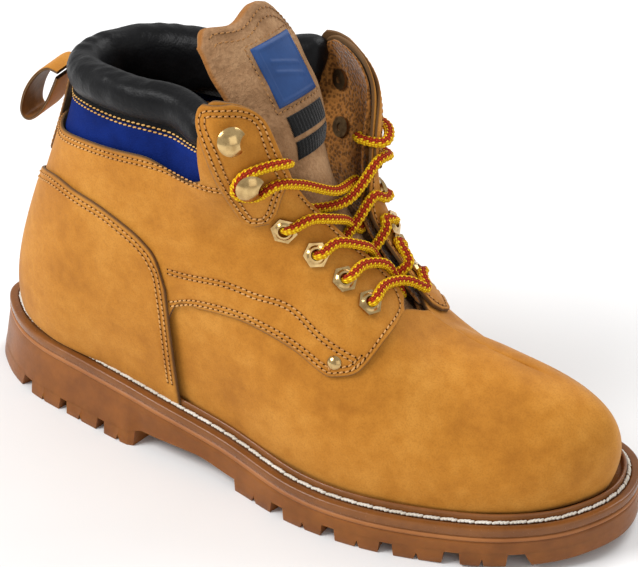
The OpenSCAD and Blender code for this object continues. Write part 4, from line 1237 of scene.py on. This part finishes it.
sticker("tongue_patch_mesh", 6.1, 7.4, 2.5, 12.5, 1.0, PATCH, "tongue_patch", badge_relief)
sticker("tongue_tab_upper", 5.44, 5.88, 3, 12, 0.5, TAB, "tongue_tabs", ribs, 0.35)
sticker("tongue_tab_lower", 4.94, 5.33, 3, 12, 0.5, TAB, None, ribs, 0.35)

tongue_rows = Rows()
for back_by in (0.17, 0.36):
    w = np.linspace(-0.86, 0.86, 200)
    t = tongue_top(w) - back_by
    y = w * curve(TONGUE_HALF, t)
    tongue_rows.add(on_tongue(t, y, 0.0), tongue_n(t, y), hole=0.5)
corners = [(6.02, -11.8), (7.48, -11.8), (7.48, 16.8), (6.02, 16.8), (6.02, -11.8)]
for (ta, ya), (tb, yb) in zip(corners, corners[1:]):
    t = np.linspace(ta, tb, 60)
    y = np.linspace(ya, yb, 60)
    tongue_rows.add(on_tongue(t, y, 0.0), tongue_n(t, y), hole=0.5)
tongue_rows.build("tongue_stitching", THREAD_BROWN, "tongue")

# ---- gussets
for side, tag in ((-1, "lateral"), (1, "medial")):
    T = np.linspace(1.4, 4.4, 60)
    a = tongue_pt(T, side * (curve(TONGUE_HALF, T) + 1), -2)
    u = lerp(10.2, 7.9, (T - 1.4) / 3)
    b = skin(sided(u, side), 0.58, IN_LO - 1.2)
    W = np.linspace(0, 1, 14)
    P = a[:, None] * (1 - W)[None, :, None] + b[:, None] * W[None, :, None]
    P[..., 0] -= 1.5 * np.sin(W * math.pi)
    P[..., 2] -= 2.0 * np.sin(W * math.pi) + 0.5 * np.sin(T * 5)[:, None] * np.sin(W * math.pi)
    ob = make("gusset_%s_mesh" % tag, P.reshape(-1, 3), grid_faces(60, 14), "boot", SUEDE)
    ob.modifiers.new("thick", "SOLIDIFY").thickness = 0.0009
    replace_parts(ob, "gusset_%s" % tag)

# ---- lace
# places along the front edge, by eyelet, where the strands go over it and where they come out from under it
LAP_U = [8.6, 9.4, 9.9, 10.25]
UNDER_U = [8.2, 9.1, 9.68, 10.12]
BRAID_PITCH = 2.4
LACE_HALF_WIDTH = 2.3
LACE_HALF_THICKNESS = 1.75


def lace_point(side, u, v, off):
    return skin(sided(u, side), v, off)


def edge_v(u):
    """Height of the quarter's front edge at place u."""
    return float(curve(QTR_TOP, u))


def lap(side, k):
    """Where a strand bends over the edge above eyelet k."""
    return lace_point(side, LAP_U[k], edge_v(LAP_U[k]) + 0.005, QTR_HI + 2.3)


def under(side, k):
    """Where a strand leaves from below the edge, just behind the strand over eyelet k."""
    return lace_point(side, UNDER_U[k], edge_v(UNDER_U[k]) - 0.01, -5.9)


def eyelet_pass(side, k):
    """Over the edge, along the facing and down through eyelet k."""
    e = EYES[k]
    u1 = lerp(e[0], LAP_U[k], 0.5)
    v1 = lerp(e[1], edge_v(LAP_U[k]), 0.5)
    u2 = lerp(e[0], LAP_U[k], 0.12)
    return [lap(side, k), lace_point(side, u1, v1, QTR_HI + 2.9),
            lace_point(side, u2, e[1] + 0.016, QTR_HI + 3.1),
            lace_point(side, e[0], e[1] + 0.003, 1.4), lace_point(side, e[0], e[1] + 0.012, -6.6)]


def crossing(side, k):
    """From inside eyelet k on one side, out of the gap and over to the edge above eyelet k - 1 opposite."""
    a = under(side, k)
    b = lap(-side, k - 1) if k else hook_in(-side)
    e = EYES[k]
    mid = lerp(a, b, 0.5) + np.array([0, 0, 1.8 if side > 0 else -1.2])
    if k == 0:
        mid = mid + np.array([3, 0, -5])
    inner = lace_point(side, lerp(e[0], UNDER_U[k], 0.55), lerp(e[1], edge_v(UNDER_U[k]), 0.55), -6.2)
    return [inner, a, mid]


def hook_in(side):
    return lace_point(side, 7.75, 0.875, QTR_HI + 2.6)


def hook_turn(side):
    """Round the lower hook and down to the end tucked in behind the flap."""
    h = (HOOKS if side < 0 else HOOKS_IN)[1]
    z = TOP_HI + 2.9
    around = [(0.55, -0.005, z), (0.05, -0.034, z), (-0.27, -0.004, z), (-0.08, 0.033, z),
              (0.42, 0.045, z + 0.6), (0.86, 0.085, z - 0.4)]
    tucked = [(7.6, 0.925, -3.0), (7.25, 0.86, -6.8), (6.95, 0.80, -7.0)]
    return ([hook_in(side)] + [lace_point(side, h[0] + du, h[1] + dv, off) for du, dv, off in around]
            + [lace_point(side, *place) for place in tucked])


def strand(side):
    """Half of the lace, from the lowest eyelet on one side up to the hook on the other."""
    path = []
    for k in (3, 2, 1, 0):
        path += eyelet_pass(side, k) + crossing(side, k)
        side = -side
    return path + hook_turn(side)


bar = (lap(-1, 3) + lap(1, 3)) / 2 + np.array([0, 0, 1.2])
ROUTE = np.array(strand(-1)[::-1] + [bar] + strand(1))


def lace_material():
    m, nt, b = new_mat("lace_braid")
    around = attr(nt, "around")
    ph = maths(nt, "MULTIPLY", attr(nt, "along"), 2 * math.pi / BRAID_PITCH)
    ang = maths(nt, "MULTIPLY", around, 2 * math.pi * 6)
    wa = maths(nt, "SINE", maths(nt, "ADD", ph, ang))
    wb = maths(nt, "SINE", maths(nt, "SUBTRACT", ph, ang))
    weave = maths(nt, "MULTIPLY", wa, wb)
    dist = maths(nt, "ABSOLUTE", maths(nt, "SUBTRACT", around, 0.5))
    half_band = maths(nt, "ADD", maths(nt, "MULTIPLY", wb, 0.034), 0.085)
    red = maths(nt, "LESS_THAN", dist, half_band)
    # painted shade and highlight: depth darkens both lace colours in the hollows of the weave and lightens
    # them on its crests, on top of the bump
    depth = ramp(nt, weave, [(0.0, (0,)), (0.55, (1,))])
    yellow = mix(nt, depth, (0.62, 0.29, 0.003), (1.0, 0.72, 0.02))
    col = mix(nt, red, yellow, mix(nt, depth, (0.24, 0.018, 0.004), (0.47, 0.05, 0.012)))
    nt.links.new(col, b.inputs["Base Color"])
    dial(b, Roughness=0.75, Specular_IOR_Level=0.1)
    bump(nt, b, weave, 0.0003, 0.9)
    return m


def build_lace():
    P = along(ROUTE, np.linspace(0, len(ROUTE) - 1, 60 * len(ROUTE)))
    P = even(P, 0.45)
    for _ in range(14):
        P[1:-1] = (P[:-2] + 2 * P[1:-1] + P[2:]) / 4
    T = unit(np.gradient(P, axis=0))
    ref = np.array([0.42, -0.34, 0.84])
    A = unit(ref - (T @ ref)[:, None] * T)
    for _ in range(90):
        A[1:-1] = (A[:-2] + A[1:-1] + A[2:]) / 3
        A = unit(A - (A * T).sum(-1, keepdims=True) * T)
    B = np.cross(T, A)
    sides = 24
    th = np.linspace(0, 2 * math.pi, sides + 1)
    n = len(P)
    s = np.concatenate([[0], np.cumsum(np.linalg.norm(np.diff(P, axis=0), axis=1))])
    twist = np.sin(s[:, None] * 2 * math.pi / BRAID_PITCH + 3 * th[None, :])
    braid = 1 + 0.085 * np.abs(np.sin(th))[None, :] * twist
    V = (P[:, None] - (np.cos(th) * braid)[..., None] * A[:, None] * LACE_HALF_THICKNESS
         + (np.sin(th) * braid)[..., None] * B[:, None] * LACE_HALF_WIDTH)
    V = V.reshape(-1, 3)
    F = grid_faces(n, sides + 1)
    F.append(list(range(sides)))
    F.append(list(range((n - 1) * (sides + 1), (n - 1) * (sides + 1) + sides))[::-1])
    ob = make("lace_mesh", V, F, "boot", lace_material(),
              attrs={"along": np.repeat(s, sides + 1), "around": np.tile(np.linspace(0, 1, sides + 1), n)})
    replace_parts(ob, "lace")
    return s[-1]


lace_length = build_lace()
print("lace length mm", round(float(lace_length), 1))

# ---- floor, light
bpy.context.scene.view_settings.view_transform = "Standard"
floor_mat, nt, b = new_mat("floor")
patches = noise(nt, coords(nt), 8, 3, 0.5)
nt.links.new(ramp(nt, patches, [(0.3, (0.80,)), (0.7, (0.83,))]), b.inputs["Base Color"])
dial(b, Roughness=0.9)
me = bpy.data.meshes.new("floor")
me.from_pydata([(-4, -4, 0), (4, -4, 0), (4, 4, 0), (-4, 4, 0)], [], [(0, 1, 2, 3)])
me.materials.append(floor_mat)
floor = bpy.data.objects.new("floor", me)
bpy.context.scene.collection.objects.link(floor)

for name, place, size, power in (("key", (-0.9, -0.95, 1.3), 0.8, 27), ("fill", (1.5, -0.9, 0.8), 1.4, 5),
                                 ("rim", (0.3, 1.2, 1.3), 1.0, 16)):
    lamp = bpy.data.lights.new(name, "AREA")
    lamp.size = size
    lamp.energy = power
    o = bpy.data.objects.new(name, lamp)
    o.location = place
    o.rotation_euler = (Vector((0, 0, 0.08)) - Vector(place)).to_track_quat("-Z", "Y").to_euler()
    bpy.context.scene.collection.objects.link(o)

world = bpy.data.worlds.new("world")
bpy.context.scene.world = world
world.use_nodes = True
world.node_tree.nodes["Background"].inputs[0].default_value = (1, 1, 1, 1)
world.node_tree.nodes["Background"].inputs[1].default_value = 0.6
